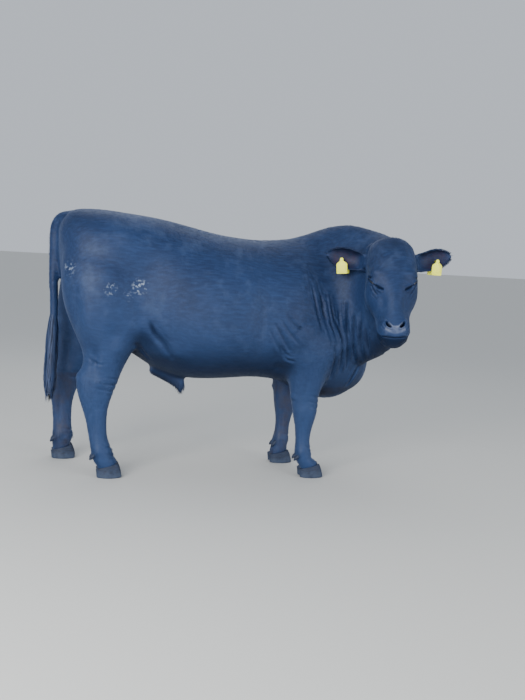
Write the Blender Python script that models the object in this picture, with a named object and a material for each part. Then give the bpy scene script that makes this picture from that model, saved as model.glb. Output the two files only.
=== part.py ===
"""A life-size Angus bull, standing, with its head turned to the right.

X runs from tail to chest, Y to the bull's left and Z up, in metres. The floor is at Z = 0.
Most of the body is one closed skin: lofted pieces are fused, relaxed and then parted by thin cuts.
"""
import math

import bmesh
import bpy
import numpy as np
from mathutils import Matrix, Vector

# Parting and mesh sizes
GAP = 0.0003            # air between two pieces that touch
BODY_VOXEL = 0.014      # grain of the fused body
HEAD_VOXEL = 0.0065     # grain of the fused head
BODY_RELAX = 12         # rounds of smoothing that run the fused pieces into each other
HEAD_RELAX = 5
BODY_FACES = 5500       # triangles left on the body before it is parted
HEAD_FACES = 2650       # triangles left on the head before its eyes and mouth are cut
RING = 40               # points round a lofted ring
SMOOTH_ANGLE = math.radians(45)

# Trunk stations along X: top, bottom, half width, height of the widest place, squareness above and below
TRUNK = (
    (-0.795, 1.225, 1.060, 0.070, 1.150, 2.0, 2.0),
    (-0.765, 1.275, 0.900, 0.165, 1.120, 2.3, 2.0),
    (-0.700, 1.296, 0.780, 0.235, 1.060, 2.6, 2.0),
    (-0.590, 1.297, 0.665, 0.272, 1.010, 2.8, 2.1),
    (-0.440, 1.287, 0.600, 0.288, 0.960, 2.7, 2.1),
    (-0.300, 1.270, 0.518, 0.305, 0.880, 2.4, 2.1),
    (-0.150, 1.240, 0.478, 0.325, 0.830, 2.2, 2.2),
    (0.000, 1.212, 0.478, 0.335, 0.820, 2.1, 2.3),
    (0.150, 1.198, 0.490, 0.330, 0.820, 2.0, 2.3),
    (0.250, 1.200, 0.488, 0.315, 0.820, 1.9, 2.2),
    (0.350, 1.212, 0.470, 0.300, 0.810, 1.8, 2.1),
    (0.450, 1.225, 0.425, 0.280, 0.790, 1.8, 2.0),
    (0.550, 1.210, 0.392, 0.250, 0.770, 1.8, 1.9),
    (0.640, 1.150, 0.395, 0.212, 0.740, 1.9, 1.8),
    (0.720, 1.030, 0.425, 0.165, 0.700, 2.0, 1.8),
    (0.785, 0.860, 0.475, 0.110, 0.660, 2.0, 1.9),
    (0.815, 0.740, 0.550, 0.050, 0.640, 2.0, 2.0),
)

# Neck stations on a path that turns right: X, Y, heading in degrees, top, bottom, half width, widest height
NECK = (
    (0.300, 0.000, 0, 1.195, 0.620, 0.235, 0.880),
    (0.440, 0.000, -6, 1.240, 0.560, 0.225, 0.880),
    (0.570, -0.022, -18, 1.290, 0.520, 0.205, 0.880),
    (0.675, -0.075, -38, 1.302, 0.550, 0.185, 0.900),
    (0.755, -0.145, -56, 1.282, 0.590, 0.172, 0.920),
    (0.800, -0.230, -74, 1.260, 0.640, 0.156, 0.950),
    (0.805, -0.320, -90, 1.232, 0.690, 0.132, 0.990),
    (0.795, -0.390, -96, 1.190, 0.740, 0.100, 1.000),
)

# Head frame: poll, bearing from -Y towards -X, and how far the face leans from upright
POLL = Vector((0.788, -0.360, 1.238))
HEAD_BEARING = math.radians(12)
FACE_LEAN = math.radians(25)
HEAD_TILT = math.radians(2.4)        # the muzzle swings a little to its left

# Head stations down the face: distance, half width, front, widest, back, squareness front and back
HEAD = (
    (-0.004, 0.046, -0.010, -0.035, -0.060, 2.0, 2.0),
    (0.010, 0.078, 0.018, -0.035, -0.090, 2.2, 2.0),
    (0.040, 0.102, 0.038, -0.035, -0.125, 2.5, 2.0),
    (0.075, 0.115, 0.050, -0.040, -0.150, 2.7, 2.0),
    (0.120, 0.120, 0.058, -0.040, -0.175, 2.8, 2.0),
    (0.170, 0.122, 0.061, -0.035, -0.195, 2.7, 2.0),
    (0.220, 0.125, 0.060, -0.040, -0.205, 2.3, 2.0),
    (0.270, 0.118, 0.056, -0.055, -0.205, 1.9, 2.1),
    (0.320, 0.104, 0.052, -0.062, -0.190, 1.8, 2.1),
    (0.365, 0.090, 0.048, -0.058, -0.162, 1.9, 2.1),
    (0.405, 0.080, 0.046, -0.048, -0.142, 2.2, 2.1),
    (0.445, 0.079, 0.046, -0.038, -0.126, 2.5, 2.2),
    (0.480, 0.078, 0.043, -0.034, -0.113, 2.5, 2.2),
    (0.510, 0.070, 0.026, -0.036, -0.101, 2.4, 2.2),
    (0.529, 0.053, 0.002, -0.044, -0.091, 2.2, 2.0),
    (0.540, 0.027, -0.022, -0.050, -0.075, 2.0, 2.0),
)

# Leg stations, top to bottom: Z, rear X, front X, Y of the middle, half width
HIND_RIGHT = (
    (1.170, -0.740, -0.400, -0.120, 0.080),
    (1.080, -0.770, -0.345, -0.145, 0.120),
    (0.960, -0.776, -0.322, -0.160, 0.140),
    (0.850, -0.762, -0.322, -0.165, 0.138),
    (0.770, -0.735, -0.345, -0.172, 0.126),
    (0.690, -0.700, -0.388, -0.180, 0.106),
    (0.610, -0.664, -0.428, -0.185, 0.084),
    (0.550, -0.664, -0.458, -0.188, 0.070),
    (0.500, -0.684, -0.477, -0.190, 0.061),
    (0.455, -0.692, -0.492, -0.190, 0.058),
    (0.405, -0.682, -0.512, -0.190, 0.055),
    (0.350, -0.664, -0.526, -0.190, 0.047),
    (0.280, -0.642, -0.533, -0.190, 0.040),
    (0.200, -0.626, -0.527, -0.190, 0.038),
    (0.145, -0.614, -0.508, -0.190, 0.046),
    (0.110, -0.606, -0.493, -0.190, 0.050),
    (0.070, -0.592, -0.478, -0.190, 0.050),
    (0.030, -0.584, -0.466, -0.190, 0.052),
)
HIND_LEFT = (
    (1.170, -0.740, -0.400, 0.120, 0.080),
    (1.080, -0.770, -0.345, 0.145, 0.120),
    (0.960, -0.790, -0.330, 0.160, 0.140),
    (0.850, -0.802, -0.340, 0.168, 0.134),
    (0.770, -0.810, -0.372, 0.176, 0.122),
    (0.690, -0.814, -0.430, 0.184, 0.102),
    (0.610, -0.818, -0.500, 0.188, 0.082),
    (0.550, -0.826, -0.556, 0.190, 0.070),
    (0.500, -0.838, -0.604, 0.190, 0.061),
    (0.455, -0.846, -0.640, 0.190, 0.058),
    (0.405, -0.844, -0.672, 0.190, 0.055),
    (0.350, -0.836, -0.696, 0.190, 0.047),
    (0.280, -0.822, -0.710, 0.190, 0.040),
    (0.200, -0.815, -0.712, 0.190, 0.038),
    (0.145, -0.814, -0.706, 0.190, 0.046),
    (0.110, -0.814, -0.700, 0.190, 0.050),
    (0.070, -0.812, -0.696, 0.190, 0.050),
    (0.030, -0.812, -0.692, 0.190, 0.052),
)
FORE_RIGHT = (
    (0.860, 0.300, 0.570, -0.190, 0.070),
    (0.740, 0.285, 0.600, -0.190, 0.086),
    (0.650, 0.296, 0.604, -0.185, 0.088),
    (0.580, 0.328, 0.585, -0.175, 0.084),
    (0.517, 0.355, 0.559, -0.168, 0.076),
    (0.450, 0.372, 0.536, -0.163, 0.066),
    (0.395, 0.382, 0.521, -0.160, 0.060),
    (0.345, 0.392, 0.527, -0.160, 0.059),
    (0.300, 0.402, 0.518, -0.160, 0.053),
    (0.235, 0.414, 0.503, -0.160, 0.041),
    (0.175, 0.417, 0.500, -0.160, 0.039),
    (0.130, 0.417, 0.509, -0.160, 0.048),
    (0.095, 0.424, 0.518, -0.160, 0.049),
    (0.060, 0.434, 0.536, -0.160, 0.052),
    (0.030, 0.444, 0.552, -0.160, 0.054),
)
FORE_LEFT = (
    (0.860, 0.300, 0.560, 0.190, 0.070),
    (0.740, 0.285, 0.590, 0.190, 0.086),
    (0.650, 0.292, 0.585, 0.185, 0.088),
    (0.580, 0.318, 0.556, 0.170, 0.084),
    (0.517, 0.336, 0.524, 0.155, 0.076),
    (0.450, 0.345, 0.502, 0.143, 0.066),
    (0.395, 0.350, 0.488, 0.140, 0.060),
    (0.345, 0.355, 0.488, 0.140, 0.059),
    (0.300, 0.362, 0.478, 0.140, 0.053),
    (0.235, 0.372, 0.461, 0.140, 0.041),
    (0.175, 0.370, 0.455, 0.140, 0.039),
    (0.130, 0.362, 0.456, 0.140, 0.048),
    (0.095, 0.357, 0.456, 0.140, 0.049),
    (0.060, 0.352, 0.462, 0.140, 0.052),
    (0.030, 0.350, 0.468, 0.140, 0.054),
)

# Feet: X and Y of the middle of the sole
FEET = {
    "fore_right": (0.508, -0.160),
    "fore_left": (0.409, 0.140),
    "hind_right": (-0.517, -0.190),
    "hind_left": (-0.752, 0.190),
}
SOLE_HALF = 0.060          # half length of a sole
CLAW_HALF = 0.0255         # half width of one claw
CLAW_SPLIT = 0.004         # gap between the two claws of a foot
CORONET = 0.060            # height of the hoof's upper rim over the middle of the sole
CORONET_SLOPE = 0.28       # the rim rises towards the toe
CLAW_LEVELS = ((0.00, 0.93, 0.000), (0.10, 1.00, 0.001), (0.55, 0.95, -0.004), (1.00, 0.86, -0.012))
TOE_TAPER = 0.30           # the claw narrows towards its toe by this share
INNER_SIDE = 0.92          # and its inner wall is flatter
DEWCLAW_HEIGHT = 0.112
DEWCLAW_ASIDE = 0.024
DEWCLAW_IN = 0.016         # how deep its root stands in the leg
DEWCLAW_RINGS = ((-0.012, 0.012), (0.006, 0.013), (0.018, 0.010), (0.026, 0.004))   # drop and radius

# Tail path: X, Z and radius
TAIL = (
    (-0.745, 1.262, 0.026),
    (-0.790, 1.248, 0.030),
    (-0.816, 1.200, 0.029),
    (-0.822, 1.120, 0.026),
    (-0.820, 0.980, 0.024),
    (-0.812, 0.840, 0.022),
    (-0.812, 0.700, 0.018),
    (-0.818, 0.640, 0.013),
)
TAIL_CUT = 0.665           # height where the dock ends and the switch begins
SWITCH_CORE = ((0.663, 0.015), (0.600, 0.023), (0.530, 0.022), (0.460, 0.014), (0.430, 0.004))
SWITCH_X = -0.822
SWITCH_TIP = 0.320         # height of the lowest lock's tip
SWITCH_ROOTS = 0.20        # the locks are rooted over this height
TIP_SPREAD = 0.13          # and end over this height
LOCKS = 14
LOCK_TURN = 2.4            # angle from one lock to the next
LOCK_HALF = (0.015, 0.0055)   # half width and half thickness at the root
LOCK_TIP = (0.0012, 0.0008)   # and at the tip
LOCK_BULGE = (0.010, 0.026)   # least and most that a lock stands out

# Sheath and scrotum in the middle plane: X, Z and radius
SHEATH = ((-0.300, 0.550, 0.070), (-0.235, 0.500, 0.055), (-0.180, 0.450, 0.036),
          (-0.158, 0.415, 0.024), (-0.150, 0.404, 0.014))
SCROTUM = ((-0.520, 0.700, 0.060), (-0.525, 0.630, 0.050), (-0.530, 0.560, 0.060),
           (-0.533, 0.500, 0.064), (-0.535, 0.455, 0.050), (-0.535, 0.436, 0.020))

# Cuts that part the body: a place and a direction for each plane, two corners for each box
NECK_PLANE = ((0.800, -0.262, 1.000), (-0.15, -0.98, 0.15))
NECK_CUT = (0.24, 0.42)    # half width and half height of the cut between neck and head
CHEST_PLANE = ((0.580, 0.000, 0.935), (0.78, 0.00, 0.62))
FAR = 1.6                  # half size of a cut that runs right through
LEG_BOXES = {
    "fore_right": ((0.335, -0.400, -0.100), (0.590, -0.085, 0.475)),
    "fore_left": ((0.320, 0.065, -0.100), (0.560, 0.400, 0.475)),
    "hind_right": ((-1.000, -0.400, -0.100), (-0.395, -0.080, 0.600)),
    "hind_left": ((-1.000, 0.080, -0.100), (-0.395, 0.400, 0.600)),
}
SCROTUM_BOX = ((-0.640, -0.0795, -0.100), (-0.430, 0.0795, 0.600))

# Ear stations: share of its length, half height, depth of the cup, thickness of its wall
EAR = (
    (0.00, 0.047, 0.026, 0.050),
    (0.08, 0.045, 0.028, 0.040),
    (0.18, 0.044, 0.031, 0.016),
    (0.32, 0.047, 0.033, 0.008),
    (0.50, 0.051, 0.030, 0.007),
    (0.68, 0.046, 0.024, 0.006),
    (0.84, 0.032, 0.016, 0.006),
    (0.95, 0.015, 0.009, 0.005),
    (1.00, 0.005, 0.006, 0.004),
)
EAR_ROOT = (0.112, -0.062, 0.108)   # left, out and down on the head
EAR_LENGTH = 0.208
EAR_BACK = math.radians(10)         # how far the ear points back
EAR_RISE = math.radians(18)
EAR_RING = 16
EAR_BASES = (                       # swellings round the root: place from it, and radii
    ((-0.020, 0.000, 0.000), (0.040, 0.036, 0.045)),
    ((-0.044, -0.016, -0.066), (0.052, 0.048, 0.050)),
)
SOCKET = 3 * GAP                    # how much larger a socket is than what stands in it

# Eyes, nostrils and mouth on the head: left, out, down
EYE = (0.091, 0.006, 0.238)
EYE_RADIUS = 0.020
LID = 0.0055                        # thickness of the lids
SLIT = (0.018, 0.0045)              # half length and half height of the opening between the lids
SLIT_SLANT = math.radians(48)
GAZE = math.radians(44)             # how far the eye looks forwards from straight sideways
NOSTRIL = (0.034, 0.035, 0.459)
NOSTRIL_SIZE = (0.009, 0.021, 0.010)
NOSTRIL_SLANT = math.radians(40)
MOUTH = 0.517                       # distance of the mouth line down the face
MOUTH_DEPTH = 0.09                  # groove, as a share of the muzzle
MOUTH_HALF = 0.0025                 # half height of the groove
MOUTH_TURN = 1.9                    # the groove runs this far round from the middle
MOUTH_CORNER = 0.022                # and climbs towards its corners

# Ear tags
TAG = (0.054, 0.049, 0.069)         # width, height of the sides, height of the peak
TAG_THICK = 0.0022
TAG_NECK = 0.009                    # half width of the neck that holds the pin
TAG_STUD = 0.006                    # radius of the pin
TAG_BUTTON = 0.002                  # its head stands out of the plate
TAG_CLEAR = 0.003                   # air between a plate and the ear's rim or back
TAG_STAND = 0.026                   # how far the pin reaches towards the ear
TAG_REACH = 0.126                   # distance of the tag along the ear
TAG_DROP = 0.010                    # and below its middle
TAG_SWING = math.radians(15)        # its lower end swings to the head

# Swellings and hollows of the trunk on both sides: place, reach, height
FORMS = {
    "shoulder_point": ((0.590, 0.205, 0.700), (0.070, 0.070, 0.085), 0.016),
    "shoulder_blade": ((0.370, 0.240, 1.030), (0.060, 0.100, 0.150), 0.012),
    "upper_arm": ((0.400, 0.290, 0.730), (0.100, 0.090, 0.110), 0.014),
    "behind_shoulder": ((0.205, 0.310, 0.820), (0.050, 0.140, 0.200), -0.014),
    "hook_bone": ((-0.470, 0.270, 1.205), (0.060, 0.060, 0.050), 0.012),
    "pin_bone": ((-0.760, 0.120, 1.185), (0.045, 0.050, 0.045), 0.010),
    "flank": ((-0.370, 0.270, 1.040), (0.100, 0.080, 0.110), -0.016),
    "thigh": ((-0.610, 0.300, 0.950), (0.140, 0.090, 0.180), 0.012),
    "stifle": ((-0.400, 0.250, 0.740), (0.060, 0.060, 0.070), 0.012),
    "elbow": ((0.345, 0.240, 0.610), (0.045, 0.060, 0.045), 0.010),
    "brisket": ((0.620, 0.000, 0.420), (0.100, 0.100, 0.060), 0.010),
}
# Forms of the head, on both sides: left, out, down, reach, height
HEAD_FORMS = {
    "brow": ((0.088, 0.035, 0.195), (0.030, 0.030, 0.022), 0.010),
    "forehead": ((0.000, 0.060, 0.110), (0.050, 0.030, 0.060), 0.006),
    "under_eye": ((0.084, 0.020, 0.284), (0.026, 0.030, 0.016), -0.006),
    "cheek": ((0.105, -0.060, 0.285), (0.030, 0.050, 0.060), 0.010),
    "face_side": ((0.060, 0.030, 0.355), (0.022, 0.030, 0.055), -0.008),
    "nose_bridge": ((0.000, 0.055, 0.330), (0.030, 0.020, 0.080), 0.004),
    "nose_wing": ((0.054, 0.036, 0.446), (0.018, 0.020, 0.018), 0.008),
    "chin": ((0.000, -0.055, 0.518), (0.035, 0.030, 0.020), 0.004),
}
LEGS = {"fore_right": FORE_RIGHT, "fore_left": FORE_LEFT, "hind_right": HIND_RIGHT, "hind_left": HIND_LEFT}


def catmull(rows, count):
    """Smooth rows through the key rows, at equal steps of the row number."""
    keys = np.array(rows, dtype=float)
    padded = np.vstack([2 * keys[0] - keys[1], keys, 2 * keys[-1] - keys[-2]])
    out = []
    for t in np.linspace(0, len(keys) - 1, count):
        i = min(int(t), len(keys) - 2)
        f = t - i
        a, b, c, d = padded[i:i + 4]
        out.append(0.5 * (2 * b + (c - a) * f + (2 * a - 5 * b + 4 * c - d) * f ** 2
                          + (3 * b - a - 3 * c + d) * f ** 3))
    return np.array(out)


def egg(half_width, rise, drop, square_up=2.0, square_down=2.0, count=RING):
    """Side and height of points round an egg-shaped section with a power for each half."""
    angle = np.linspace(0, 2 * math.pi, count, endpoint=False)
    c, s = np.cos(angle), np.sin(angle)
    power = np.where(s >= 0, 2 / square_up, 2 / square_down)
    side = half_width * np.sign(c) * np.abs(c) ** power
    height = np.where(s >= 0, rise, drop) * np.sign(s) * np.abs(s) ** power
    return side, height


def tube(rings):
    """Vertices and faces of a closed tube through rings of equal count."""
    rows, count = len(rings), len(rings[0])
    ends = [np.mean(rings[0], axis=0), np.mean(rings[-1], axis=0)]
    verts = np.vstack([np.vstack(rings), ends])
    faces = []
    for r in range(rows - 1):
        for k in range(count):
            n = (k + 1) % count
            faces.append((r * count + k, r * count + n, (r + 1) * count + n, (r + 1) * count + k))
    last = (rows - 1) * count
    for k in range(count):
        n = (k + 1) % count
        faces.append((rows * count, n, k))
        faces.append((rows * count + 1, last + k, last + n))
    return verts, faces


def solid(name, verts, faces):
    """Mesh object of a closed surface, with its faces turned outwards."""
    mesh = bpy.data.meshes.new(name)
    mesh.from_pydata([tuple(v) for v in verts], [], faces)
    bm = bmesh.new()
    bm.from_mesh(mesh)
    bmesh.ops.recalc_face_normals(bm, faces=bm.faces)
    bm.to_mesh(mesh)
    bm.free()
    obj = bpy.data.objects.new(name, mesh)
    bpy.context.scene.collection.objects.link(obj)
    return obj


def trunk_rings():
    rings = []
    for x, top, bottom, half, wide, up, down in catmull(TRUNK, 60):
        side, height = egg(half, top - wide, wide - bottom, up, down)
        rings.append(np.column_stack([np.full(RING, x), side, wide + height]))
    return rings


def neck_rings():
    rings = []
    for x, y, heading, top, bottom, half, wide in catmull(NECK, 26):
        side, height = egg(half, top - wide, wide - bottom, 1.7, 1.8)
        turn = math.radians(heading)
        rings.append(np.column_stack([x - side * math.sin(turn), y + side * math.cos(turn), wide + height]))
    return rings


def leg_rings(stations):
    rings = []
    for z, rear, front, y, half in catmull(stations, 3 * len(stations)):
        along, across = egg((front - rear) / 2, half, half, 2.2, 2.2)
        rings.append(np.column_stack([(front + rear) / 2 + along, y + across, np.full(RING, z)]))
    return rings


def head_axes():
    """Axes of the head: to its left, out of the forehead, and down the face."""
    facing = Vector((-math.sin(HEAD_BEARING), -math.cos(HEAD_BEARING), 0))
    level = Vector((0, 0, 1)).cross(facing)
    plumb = facing * math.sin(FACE_LEAN) - Vector((0, 0, 1)) * math.cos(FACE_LEAN)
    out = facing * math.cos(FACE_LEAN) + Vector((0, 0, 1)) * math.sin(FACE_LEAN)
    left = level * math.cos(HEAD_TILT) - plumb * math.sin(HEAD_TILT)
    down = plumb * math.cos(HEAD_TILT) + level * math.sin(HEAD_TILT)
    return np.array([left, out, down])


def on_head(points):
    """World places of points given as left, out and down on the head."""
    return np.array(POLL) + np.asarray(points) @ head_axes()


def head_rings():
    rings = []
    for down, half, front, wide, back, square_front, square_back in catmull(HEAD, 44):
        side, depth = egg(half, front - wide, wide - back, square_front, square_back)
        rings.append(on_head(np.column_stack([side, wide + depth, np.full(RING, down)])))
    return rings


def fuse(name, pieces, voxel, rounds):
    """One closed skin over overlapping tubes, relaxed so that their joins run into each other."""
    verts, faces, start = [], [], 0
    for piece_verts, piece_faces in pieces:
        verts.append(piece_verts)
        faces += [tuple(i + start for i in f) for f in piece_faces]
        start += len(piece_verts)
    obj = solid(name, np.vstack(verts), faces)
    remesh = obj.modifiers.new("fuse", "REMESH")
    remesh.mode = "VOXEL"
    remesh.voxel_size = voxel
    smooth = obj.modifiers.new("relax", "CORRECTIVE_SMOOTH")
    smooth.smooth_type = "LENGTH_WEIGHTED"
    smooth.use_only_smooth = True
    smooth.iterations = rounds
    smooth.factor = 0.5
    apply_modifiers(obj)
    keep_largest(obj)
    return obj


def apply_modifiers(obj):
    """Replaces an object's mesh with what its modifiers make of it."""
    graph = bpy.context.evaluated_depsgraph_get()
    mesh = bpy.data.meshes.new_from_object(obj.evaluated_get(graph))
    obj.modifiers.clear()
    obj.data = mesh


def keep_largest(obj):
    """Keeps the largest closed surface of a mesh."""
    bm = bmesh.new()
    bm.from_mesh(obj.data)
    left, shells = set(bm.faces), []
    while left:
        stack, shell = [left.pop()], []
        while stack:
            face = stack.pop()
            shell.append(face)
            beside = {other for edge in face.edges for other in edge.link_faces} & left
            left -= beside
            stack += beside
        shells.append(shell)
    largest = max(shells, key=len)
    loose = [face for shell in shells if shell is not largest for face in shell]
    bmesh.ops.delete(bm, geom=loose, context="FACES")
    bm.to_mesh(obj.data)
    bm.free()


def push(obj, forms, places):
    """Moves the skin along its normals by soft round forms, given where each point of the skin lies."""
    mesh = obj.data
    count = len(mesh.vertices)
    co = np.empty(count * 3)
    mesh.vertices.foreach_get("co", co)
    co = co.reshape(-1, 3)
    normal = np.empty(count * 3)
    mesh.vertex_normals.foreach_get("vector", normal)
    normal = normal.reshape(-1, 3)
    lift = np.zeros(count)
    local = places(co)
    for centre, reach, height in forms.values():
        distance = (local - np.array(centre)) / np.array(reach)
        lift += height * np.exp(-(distance ** 2).sum(axis=1))
    co += normal * lift[:, None]
    mesh.vertices.foreach_set("co", co.ravel())
    mesh.update()


def both_sides(co):
    """Places on the trunk with its right side folded onto its left."""
    return np.column_stack([co[:, 0], np.abs(co[:, 1]), co[:, 2]])


def both_cheeks(co):
    """Places on the head with its right side folded onto its left."""
    local = (co - np.array(POLL)) @ head_axes().T
    local[:, 0] = np.abs(local[:, 0])
    return local


def thin_out(obj, faces):
    """Brings a mesh down to about so many triangles."""
    decimate = obj.modifiers.new("thin out", "DECIMATE")
    triangles = sum(len(p.vertices) - 2 for p in obj.data.polygons)
    decimate.ratio = min(1.0, faces / triangles)
    decimate.use_collapse_triangulate = True
    apply_modifiers(obj)


def boolean(obj, cutter, operation):
    """Applies a Boolean with a cutter, which is then removed."""
    modifier = obj.modifiers.new(operation, "BOOLEAN")
    modifier.operation = operation
    modifier.object = cutter
    apply_modifiers(obj)
    bpy.data.objects.remove(cutter)
    keep_largest(obj)


def unite(obj, pieces, solver="EXACT"):
    """Fuses closed pieces, rooted in an object, with it in one union."""
    group = bpy.data.collections.new("pieces")
    for piece in pieces:
        group.objects.link(piece)
    modifier = obj.modifiers.new("unite", "BOOLEAN")
    modifier.operation = "UNION"
    modifier.solver = solver
    modifier.operand_type = "COLLECTION"
    modifier.collection = group
    apply_modifiers(obj)
    for piece in pieces:
        bpy.data.objects.remove(piece)
    bpy.data.collections.remove(group)
    keep_largest(obj)


def block(low, high, turn=None, middle=None):
    """A box between two corners, or turned about a middle by a matrix."""
    corners = [(x, y, z) for x in (low[0], high[0]) for y in (low[1], high[1]) for z in (low[2], high[2])]
    if turn is not None:
        corners = [middle + turn @ Vector(c) for c in corners]
    faces = [(0, 1, 3, 2), (4, 6, 7, 5), (0, 4, 5, 1), (2, 3, 7, 6), (0, 2, 6, 4), (1, 5, 7, 3)]
    return solid("block", corners, faces)


def beyond(point, normal, gap=0.0, across=FAR, upright=FAR):
    """A block on the side of a plane that its normal points to, from a gap onwards."""
    turn = Vector(normal).to_track_quat("Z", "Y").to_matrix()
    low, high = (-across, -upright, gap), (across, upright, 2 * FAR)
    return block(low, high, turn, Vector(point))


def copy_of(obj, name):
    twin = obj.copy()
    twin.data = obj.data.copy()
    twin.name = name
    bpy.context.scene.collection.objects.link(twin)
    return twin


def part_off(whole, name, make_cutter):
    """Takes a piece of the body into its own object, with a gap between the two."""
    piece = copy_of(whole, name)
    boolean(piece, make_cutter(GAP / 2), "INTERSECT")
    boolean(whole, make_cutter(-GAP / 2), "DIFFERENCE")
    return piece


def ball(name, centre, radii, axes=None, segments=20, rings=12):
    """An ellipsoid along the given axes."""
    bm = bmesh.new()
    bmesh.ops.create_uvsphere(bm, u_segments=segments, v_segments=rings, radius=1.0)
    shape = np.array([v.co for v in bm.verts]) * np.array(radii)
    if axes is not None:
        shape = shape @ axes
    for v, place in zip(bm.verts, shape + np.array(centre)):
        v.co = place
    bmesh.ops.recalc_face_normals(bm, faces=bm.faces)
    mesh = bpy.data.meshes.new(name)
    bm.to_mesh(mesh)
    bm.free()
    obj = bpy.data.objects.new(name, mesh)
    bpy.context.scene.collection.objects.link(obj)
    return obj


def shape_of(obj):
    """Vertices and faces of an object, which is then removed."""
    verts = np.array([v.co for v in obj.data.vertices])
    faces = [tuple(p.vertices) for p in obj.data.polygons]
    bpy.data.objects.remove(obj)
    return verts, faces


def pipe_rings(path, count):
    """Round rings along a path of X, Z and radius in the middle plane."""
    rows = catmull(path, count)
    rings = []
    for i, (x, z, radius) in enumerate(rows):
        before, after = rows[max(i - 1, 0)], rows[min(i + 1, count - 1)]
        along = Vector((after[0] - before[0], 0, after[1] - before[1])).normalized()
        across = Vector((0, 1, 0))
        up = along.cross(across)
        angle = np.linspace(0, 2 * math.pi, 12, endpoint=False)
        ring = np.outer(np.cos(angle), across) + np.outer(np.sin(angle), up)
        rings.append(np.array([x, 0, z]) + radius * ring)
    return rings


def tail_rings(swell=0.0):
    """The dock of the tail; a swell gives the socket that it is rooted in."""
    stations = [(x, z, radius + swell) for x, z, radius in TAIL]
    x, z, radius = stations[0]
    stations[0] = (x + swell, z, radius)
    return pipe_rings(stations, 20)


def body_pieces():
    pieces = [tube(trunk_rings()), tube(neck_rings()), tube(head_rings())]
    pieces += [tube(pipe_rings(SHEATH, 14)), tube(pipe_rings(SCROTUM, 18))]
    pieces += [tube(leg_rings(stations)) for stations in LEGS.values()]
    return pieces


def side_axes(side):
    """Head axes with the first one pointing out of the given side."""
    axes = head_axes().copy()
    axes[0] *= side
    return axes


def on_side(point, side):
    return on_head((point[0] * side, point[1], point[2]))


def ear_bases(side):
    bases = []
    for shift, radii in EAR_BASES:
        middle = [root + step for root, step in zip(EAR_ROOT, shift)]
        bases.append(ball("base", on_side(middle, side), radii, side_axes(side)))
    return bases


def ear_frame(side):
    """Root, direction, height and cup direction of an ear."""
    axes = side_axes(side)
    along = axes[0] * math.cos(EAR_BACK) - axes[1] * math.sin(EAR_BACK)
    along = along * math.cos(EAR_RISE) - axes[2] * math.sin(EAR_RISE)
    height = np.array([0.0, 0.0, 1.0]) - along * along[2]
    height /= np.linalg.norm(height)
    front = np.cross(height, along) * side
    if front @ axes[1] < 0:
        front = -front
    return on_side(EAR_ROOT, side), along, height, front


def ear_rings(side, swell=0.0):
    """Crescent sections of an ear from its solid root to its tip."""
    root, along, height, front = ear_frame(side)
    half = EAR_RING // 2
    angle = np.linspace(0, math.pi, half + 1)
    rings = []
    for share, tall, cup, wall in catmull(EAR, 12):
        tall += swell
        outer = [(tall * math.cos(a), -(cup + swell) * math.sin(a)) for a in angle]
        inner = [(tall * math.cos(a), -(cup - wall - swell) * math.sin(a)) for a in angle[-2:0:-1]]
        reach = share * EAR_LENGTH if rings else -swell
        rings.append(np.array([root + along * reach + height * h + front * f
                               for h, f in outer + inner]))
    return rings


def make_ear(side, name, head):
    """An ear whose solid root stands in a socket of the head."""
    solid(name, *tube(ear_rings(side)))
    boolean(head, solid("socket", *tube(ear_rings(side, swell=SOCKET))), "DIFFERENCE")


def make_eye(side, name, head):
    """An eyeball in its socket, with a slit between the lids in front of it."""
    axes, centre = side_axes(side), on_side(EYE, side)
    outward = axes[0] * math.cos(GAZE) + axes[1] * math.sin(GAZE)
    level = axes[1] * math.cos(GAZE) - axes[0] * math.sin(GAZE)
    slant = level * math.cos(SLIT_SLANT) + axes[2] * math.sin(SLIT_SLANT)
    across = np.cross(outward, slant)
    half_length, half_height = SLIT
    slit = ball("slit", centre + outward * EYE_RADIUS, (half_length, half_height, EYE_RADIUS),
                np.array([slant, across, outward]), 16, 10)
    socket = ball("socket", centre, (EYE_RADIUS + GAP,) * 3, None, 14, 8)
    unite(socket, [slit])
    boolean(head, socket, "DIFFERENCE")
    return ball(name, centre, (EYE_RADIUS,) * 3, None, 14, 8)


def lid_mound(side):
    return ball("lids", on_side(EYE, side), (EYE_RADIUS + LID,) * 3)


def cut_nostril(side, head):
    left, out, down = side_axes(side)
    across = left * math.cos(NOSTRIL_SLANT) - down * math.sin(NOSTRIL_SLANT)
    along = down * math.cos(NOSTRIL_SLANT) + left * math.sin(NOSTRIL_SLANT)
    wide, deep, tall = NOSTRIL_SIZE
    cutter = ball("nostril", on_side(NOSTRIL, side), (wide, deep, tall), np.array([across, out, along]), 14, 8)
    boolean(head, cutter, "DIFFERENCE")


def cut_mouth(head):
    """A groove that runs round the muzzle and up to the corners of the mouth."""
    rows = catmull(HEAD, 200)
    rings = []
    for turn in np.linspace(-MOUTH_TURN, MOUTH_TURN, 31):
        down = MOUTH - MOUTH_CORNER * turn ** 2
        _, half, front, wide, back, square, _ = rows[np.argmin(np.abs(rows[:, 0] - down))]
        c, s = math.sin(turn), math.cos(turn)
        side = half * np.sign(c) * abs(c) ** (2 / square)
        rise = (front - wide) if s > 0 else (wide - back)
        depth = rise * np.sign(s) * abs(s) ** (2 / square)
        inner, outer = 1 - MOUTH_DEPTH, 1 + MOUTH_DEPTH
        corners = [(side * inner, wide + depth * inner, down),
                   (side * outer, wide + depth * outer, down - MOUTH_HALF),
                   (side * outer, wide + depth * outer, down + MOUTH_HALF)]
        rings.append(on_head(corners))
    boolean(head, solid("mouth", *tube(rings)), "DIFFERENCE")


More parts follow.
